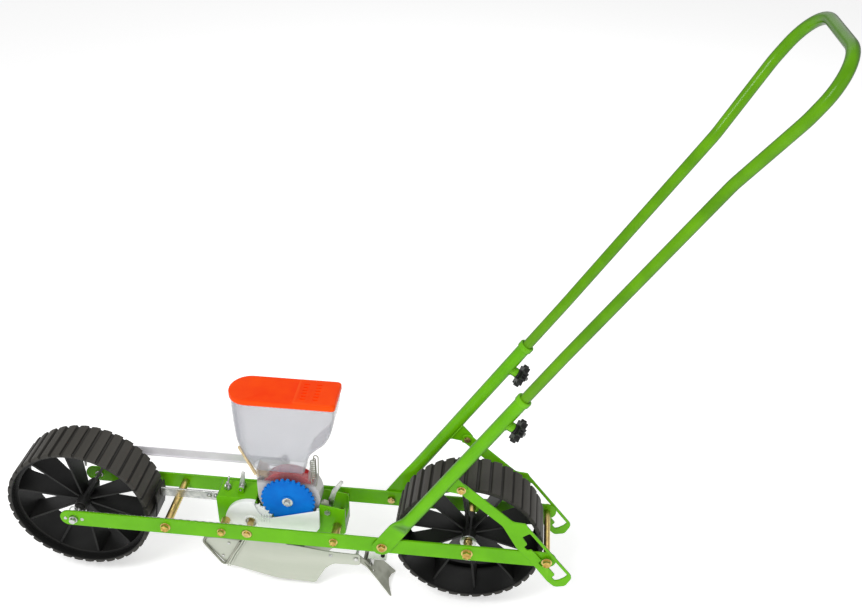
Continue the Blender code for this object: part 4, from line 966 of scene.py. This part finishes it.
def stays():
    """Toothed adjuster plates; the slot follows the rear bolt as the handle tilts."""
    along, square = Vector((0.649, -0.761)), Vector((0.761, 0.649))
    start, drop = Vector((748, 167)), -math.radians(2.5)

    def spot(s, n):
        p = start + along * s + square * n
        return p.x, p.y

    def dropped(points):
        out = []
        for x, z in points:
            dx, dz = x - EAR_X, z - EAR_Z
            out.append((EAR_X + dx * math.cos(drop) - dz * math.sin(drop),
                EAR_Z + dx * math.sin(drop) + dz * math.cos(drop)))
        return out
    outline = [(641.0, 262.6), (629.0, 262.9), (628.6, 246.0), (633.0, 246.0), (706, 187), (733, 142),
        (752, 124), spot(92, -27), spot(110, -24), spot(117, -8), (827, 94), (745.5, 190), (742, 196),
        (722, 197)]
    outline = rounded(outline, [6, 7, 5, 5, 24, 20, 14, 9, 9, 9, 12, 8, 5, 14], 5)
    upper = [spot(-7, 8.2), spot(99, 8.2), spot(101, 0)]
    lower = []
    for tooth in (95, 57, 17):
        lower += [spot(tooth + 6, -10), spot(tooth + 4, -16), spot(tooth - 5, -16), spot(tooth - 7, -8.4)]
        if tooth > 20:
            lower.append(spot(tooth - 24, -8.4))
    slot = rounded(upper + lower + [spot(-7, -6)], 2.2, 4)
    block = plate(dropped(outline), 57.4, 60.4, 0.6, holes=[dropped(slot), circle(3.3, EAR_X, EAR_Z)])
    pair("stay_plate", GREEN, block, stands=["stay"])


# ---- row marker ----
def marker():
    up = (MARKER_X, MARKER_Y, 0)
    angle = rounded([(57.3, 100), (60, 100), (60, 148.5), (75, 148.5), (75, 151), (57.3, 151)],
        [0.6, 0.6, 2, 0.6, 0.6, 4])
    piece("marker_bracket_plate", GREEN, plate(angle, MARKER_X - 12, MARKER_X + 12, 0.5, FRONT),
        stands=["marker_bracket"], cuts=[[bar(3.3, 140, 160, up, PLAN)]])
    piece("marker_pivot_pin", ZINC, lathe([(144.5, 4.0), (145, 5.2), (148.2, 5.2), (148.2, 3.0), (175.0, 3.0),
        (175.0, 5.5), (178.0, 5.5), (179.0, 4.8), (179.5, 3.6)], up, PLAN), stands=["marker_pin"])
    web = rounded([(64.2, 157), (67.8, 157), (67.8, 174), (66.2, 174), (66.2, 158.8), (64.2, 158.8)],
        [0.4, 1, 0.5, 0.5, 0.8, 0.4], 2)
    eye = lathe([(151.3, 3.3), (151.3, 7.4), (151.9, 8.0), (174.1, 8.0), (174.7, 7.4), (174.7, 3.3)], up,
        PLAN, hollow=True)
    piece("marker_bar", LILAC, plate(web, -24, 322.5, 0.3, FRONT), stands=["marker_arm"])
    piece("marker_eye", ZINC, eye, body=HOME_BODY["marker_arm"])
    tine = rounded([(-30, 120), (-26, 120), (-20, 158), (-20, 173), (-28, 173)], [1, 1, 3, 2, 4])
    piece("marker_tine", ZINC, plate(tine, 64.4, 66.1, 0.4), body=HOME_BODY["marker_arm"])


# ---- stage ----
def stage():
    reach = FLOOR_REACH
    floor = bpy.data.meshes.new("floor")
    floor.from_pydata([(-reach, -reach, 0), (reach, -reach, 0), (reach, reach, 0), (-reach, reach, 0)], [],
        [(0, 1, 2, 3)])
    obj = bpy.data.objects.new("floor", floor)
    bpy.context.scene.collection.objects.link(obj)
    pale = bpy.data.materials.new("floor_pale")
    pale.use_nodes = True
    bsdf = pale.node_tree.nodes["Principled BSDF"]
    for key, value in (("Base Color", (0.93, 0.93, 0.93, 1)), ("Roughness", 0.9), ("Specular IOR Level", 0.1),
            ("Emission Color", (1, 1, 1, 1)), ("Emission Strength", FLOOR_GLOW)):
        bsdf.inputs[key].default_value = value
    floor.materials.append(pale)
    world = bpy.data.worlds.new("studio")
    bpy.context.scene.world = world
    world.use_nodes = True
    world.node_tree.nodes["Background"].inputs["Color"].default_value = (1, 1, 1, 1)
    world.node_tree.nodes["Background"].inputs["Strength"].default_value = SKY
    for name, spot, size, power in LIGHTS:
        light = bpy.data.lights.new(name, "AREA")
        light.size, light.energy = size, power
        lamp = bpy.data.objects.new(name, light)
        lamp.location = spot
        lamp.rotation_euler = (AIM - Vector(spot)).to_track_quat("-Z", "Y").to_euler()
        bpy.context.scene.collection.objects.link(lamp)
    camera = bpy.data.cameras.new("camera")
    camera.lens, camera.sensor_width = LENS, 36.0
    eye = bpy.data.objects.new("camera", camera)
    turn = Matrix((EYE_RIGHT, EYE_UP, -EYE_AHEAD)).transposed().to_4x4()
    eye.matrix_world = Matrix.Translation(EYE) @ turn
    bpy.context.scene.collection.objects.link(eye)
    bpy.context.scene.camera = eye
    bpy.context.scene.view_settings.view_transform = "Standard"


stage()
for build in (rails, cross_members, bearings, wheels, drive, unit_frame, side_cover, housing, hopper,
        brush_and_spring, unit_fittings, shoe, coverer, sockets, knobs, handle_loop, stays, marker):
    build()
